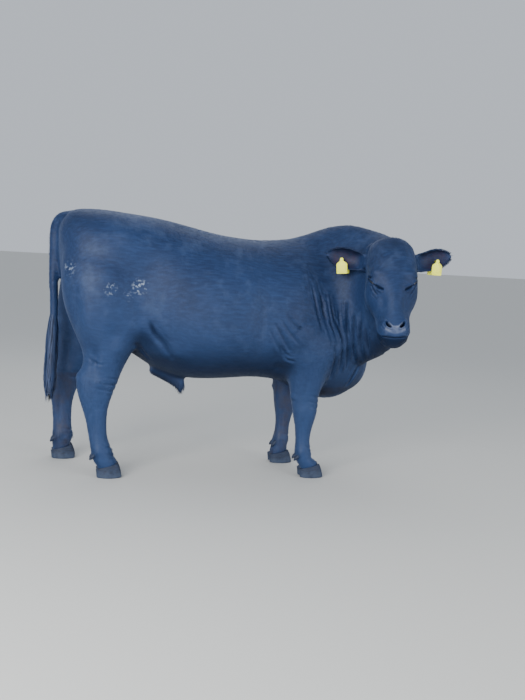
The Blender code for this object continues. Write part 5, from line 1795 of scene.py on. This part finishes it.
grown += tufts("coat_head", "head", on_head_part * longer, HEAD_TUFTS, 5, width=0.0018)
grown += tufts("coat_ears", "ears", ears * 1.0, EAR_TUFTS, 6, grow=1.1, stand=0.12, width=0.0015)
for k, foot in enumerate(FEET):
    rear, front, leg_y, half = leg_at(foot, z)
    mine = legs & (np.abs(y - leg_y) < half + 0.05) & (np.abs(x - (rear + front) / 2) < 0.14)
    grown += tufts(f"coat_leg_{foot}", f"leg_{foot}", mine * longer, LEG_TUFTS, 10 + k, width=0.0020)
print("coat triangles", grown)

# %% [markdown]
# ## Rims, lashes and switch
# The rim of an ear carries a fringe that curves round it, and the lids carry lashes. The tail
# ends in a switch, a hank of long wavy hair that hangs in locks. All of these are blades too,
# but longer ones with more bends along their paths.

# %% Long hair
def long_blades(name, field, roots, outs, ends, widths, bends, wave, rng, stops=8,
                material=None):
    """Long blades from roots to ends, bowed outwards by bends and waved."""
    count = len(roots)
    t = np.linspace(0, 1, stops)
    bow = np.sin(math.pi * np.minimum(t * 1.15, 1)) ** 0.8
    phase = rng.uniform(0, 2 * math.pi, count)
    side = unit(np.cross(ends - roots, outs))
    paths = roots[:, None] + (ends - roots)[:, None] * t[None, :, None]
    paths += outs[:, None] * (bends[:, None] * bow[None])[:, :, None]
    sway = wave[:, None] * np.sin(phase[:, None] + 9 * t[None]) * t[None]
    paths += side[:, None] * sway[:, :, None]
    taper = np.clip(1.15 - t[:-1] ** 1.6, 0.1, 1)
    # long hair gets a little painted shade and no painted warm light
    marks = {"painted_warm_light": np.zeros(count), "deep": np.full(count, 0.2)}
    thick = widths[:, None] * taper[None]
    obj = blades(name, paths, unit(outs), thick, 0.35, unwrap(roots, UNWRAPS[field]), marks)
    place_piece(obj, material or coat)
    return obj


# %% Fringe of the ears
def ear_fringe(rng):
    """Roots, directions and tips of the hair along both edges of the ears."""
    roots, outs, ends = [], [], []
    for side in (-1, 1):
        root, along, height, front = ear_frame(side)
        rows = catmull(EAR, 400)
        for share, tall in rows[(rows[:, 0] > 0.12) & (rows[:, 0] < 0.96), :2]:
            for edge in (-1, 1):
                for _ in range(2):
                    place = share + rng.normal(0, 0.004)
                    at = root + along * place * EAR_LENGTH + height * edge * (tall - 0.003)
                    out = height * edge + front * rng.uniform(-0.2, 0.6)
                    size = rng.uniform(0.007, 0.016)
                    roots.append(at)
                    outs.append(out / np.linalg.norm(out))
                    ends.append(at + (out * 0.45 + along * 0.9) * size)
    return np.array(roots), np.array(outs), np.array(ends)


rng = np.random.default_rng(8)
roots, outs, ends = ear_fringe(rng)
count = len(roots)
long_blades("ear_fringe", "ears", roots, outs, ends, rng.uniform(0.0010, 0.0018, count),
            np.full(count, 0.001), np.full(count, 0.0006), rng, stops=4)
print("hairs in the fringe", count)


# %% Lashes
def lashes(rng):
    """Roots, directions and tips of the lashes, longer on the upper lid."""
    roots, outs, ends = [], [], []
    for side in (-1, 1):
        along, across, outward = eye_axes(side)
        for k in np.linspace(-0.72, 0.72, 34):
            for row in (SLIT_HALF, -0.17):
                a = k + rng.normal(0, 0.01)
                b = lash_line(a) + row * (1 - (a / SLIT_REACH) ** 2)
                way = along * a + across * b + outward * math.sqrt(max(0.05, 1 - a * a - b * b))
                at = on_side(EYE, side) + way * (EYE_RADIUS + 0.0022)
                size = rng.uniform(0.007, 0.012) * (1.0 if row > 0 else 0.5)
                roots.append(at)
                outs.append(way)
                droop = -0.30 if row > 0 else -0.5
                ends.append(at + (way * 0.75 + along * a * 0.4 + across * droop) * size)
    return np.array(roots), np.array(outs), np.array(ends)


roots, outs, ends = lashes(rng)
count = len(roots)
long_blades("lashes", "head", roots, outs, ends, np.full(count, 0.0008), np.full(count, 0.001),
            np.zeros(count), rng, stops=5)
print("lashes", count)


# %% Switch of the tail
# Long coarse hair, washed by rain and dull. Its strands catch the light one beside another.
def switch_material():
    """Dark locks, a little lighter here and there along their length."""
    made, tree, shader, place = new_material("long switch hair")
    tint = grain(tree, place, (0.006, 0.006, 0.10), 4.0)
    strands = grain(tree, place, (0.0012, 0.0012, 0.06))     # a hair is 0.1 mm wide, drawn coarser
    fill(tree, shader, {
        "Base Color": add(tree, "ValToRGB", (tint,), stops=((0.3, "#12203c"), (0.7, "#2c4168"))),
        "Roughness": 0.5,
        "Normal": add(tree, "Bump", {"Height": strands, "Strength": 0.6, "Distance": 0.0012}),
    })
    return made


def switch_hair(rng, count):
    """Roots, directions and tips of the locks, which start well up the dock and lie over it."""
    turn = rng.uniform(0, 2 * math.pi, count)
    share = rng.random(count) ** 0.9
    level = 0.775 - 0.32 * share
    lock = np.round(turn / 0.52) * 0.52 + rng.normal(0, 0.12, count)
    outs = np.column_stack([np.cos(lock), np.sin(lock), np.zeros(count)])
    rows = np.array(((0.780, 0.021), (0.668, 0.016), (0.600, 0.022), (0.530, 0.021), (0.450, 0.010)))[::-1]
    middle = np.interp(level, (0.50, 0.66, 0.80), (-0.822, -0.816, -0.812))
    roots = np.column_stack([middle, np.zeros(count), level])
    roots += outs * (np.interp(level, rows[:, 0], rows[:, 1]) * 0.75)[:, None]
    tips = 0.335 + 0.15 * rng.random(count) ** 1.5 + 0.02 * np.sin(3 * lock)
    tips = np.clip(tips, level - rng.uniform(0.20, 0.34, count), level - 0.09)
    spread = 0.012 + 0.010 * rng.random(count)
    ends = np.column_stack([-0.822 + spread * np.cos(lock), spread * np.sin(lock), tips])
    return roots, outs, ends


LOCKS = 640
hank = switch_material()
roots, outs, ends = switch_hair(rng, LOCKS)
thick = rng.uniform(0.005, 0.009, LOCKS)
bends = rng.uniform(0.001, 0.015, LOCKS)
waves = rng.uniform(0.002, 0.007, LOCKS)
switch = long_blades("switch_locks", "switch", roots, outs, ends, thick, bends, waves, rng,
                     material=hank)
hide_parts("tail_switch")
print("switch locks", LOCKS)

# %% [markdown]
# ## Floor and light
# A plain pale floor and soft, broad light, like that of an overcast day, surround the bull.
# A large key lamp stands off the rump on the right side, a weaker one opens the shadows at the
# chest, and a faint one above and behind draws the line of the back. The floor runs far out, so
# that it ends only at the horizon.

# %% Floor
FLOOR_HALF = 60.0


# Dull paint on a studio floor, rolled on: pale grey, with no gloss to mirror the hooves.
def floor_material():
    """One plain pale colour."""
    made, tree, shader, _ = new_material("pale studio floor")
    fill(tree, shader, {"Base Color": "#cfcfcb", "Roughness": 0.85})
    return made


corners = [(x * FLOOR_HALF, y * FLOOR_HALF, 0) for x, y in ((-1, -1), (1, -1), (1, 1), (-1, 1))]
floor = solid("floor", corners, [(0, 1, 2, 3)])
floor.data.materials.append(floor_material())
print("floor", 2 * FLOOR_HALF, "metres wide")

# %% Lamps and sky
LAMPS = (  # name, place, size and power in watts
    ("key", (-2.6, -3.8, 2.0), 2.8, 250),
    ("top", (0.2, 2.6, 3.6), 3.5, 30),
    ("fill", (3.0, -3.6, 1.0), 2.4, 85),
)
AIM = Vector((0, 0, 0.8))           # all lamps look at the middle of the body
SKY = (0.80, 0.86, 0.95, 1)         # linear light of an overcast sky


def light_the_stage():
    """Square lamps that look at the body, and an even sky."""
    for name, place, size, power in LAMPS:
        lamp = bpy.data.lights.new(name, "AREA")
        lamp.size, lamp.energy = size, power
        obj = bpy.data.objects.new(name, lamp)
        obj.location = place
        obj.rotation_euler = (AIM - Vector(place)).to_track_quat("-Z", "Y").to_euler()
        scene.collection.objects.link(obj)
    world = bpy.data.worlds.new("studio")
    world.use_nodes = True
    fill(world.node_tree, world.node_tree.nodes["Background"], {"Color": SKY, "Strength": 0.75})
    scene.world = world


light_the_stage()
print("lamps", len(LAMPS))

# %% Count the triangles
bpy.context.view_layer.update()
every = [o for o in scene.objects if o.type == "MESH" and not o.hide_render and o.name != "floor"]
print("triangles in all", sum(sum(len(p.vertices) - 2 for p in o.data.polygons) for o in every))
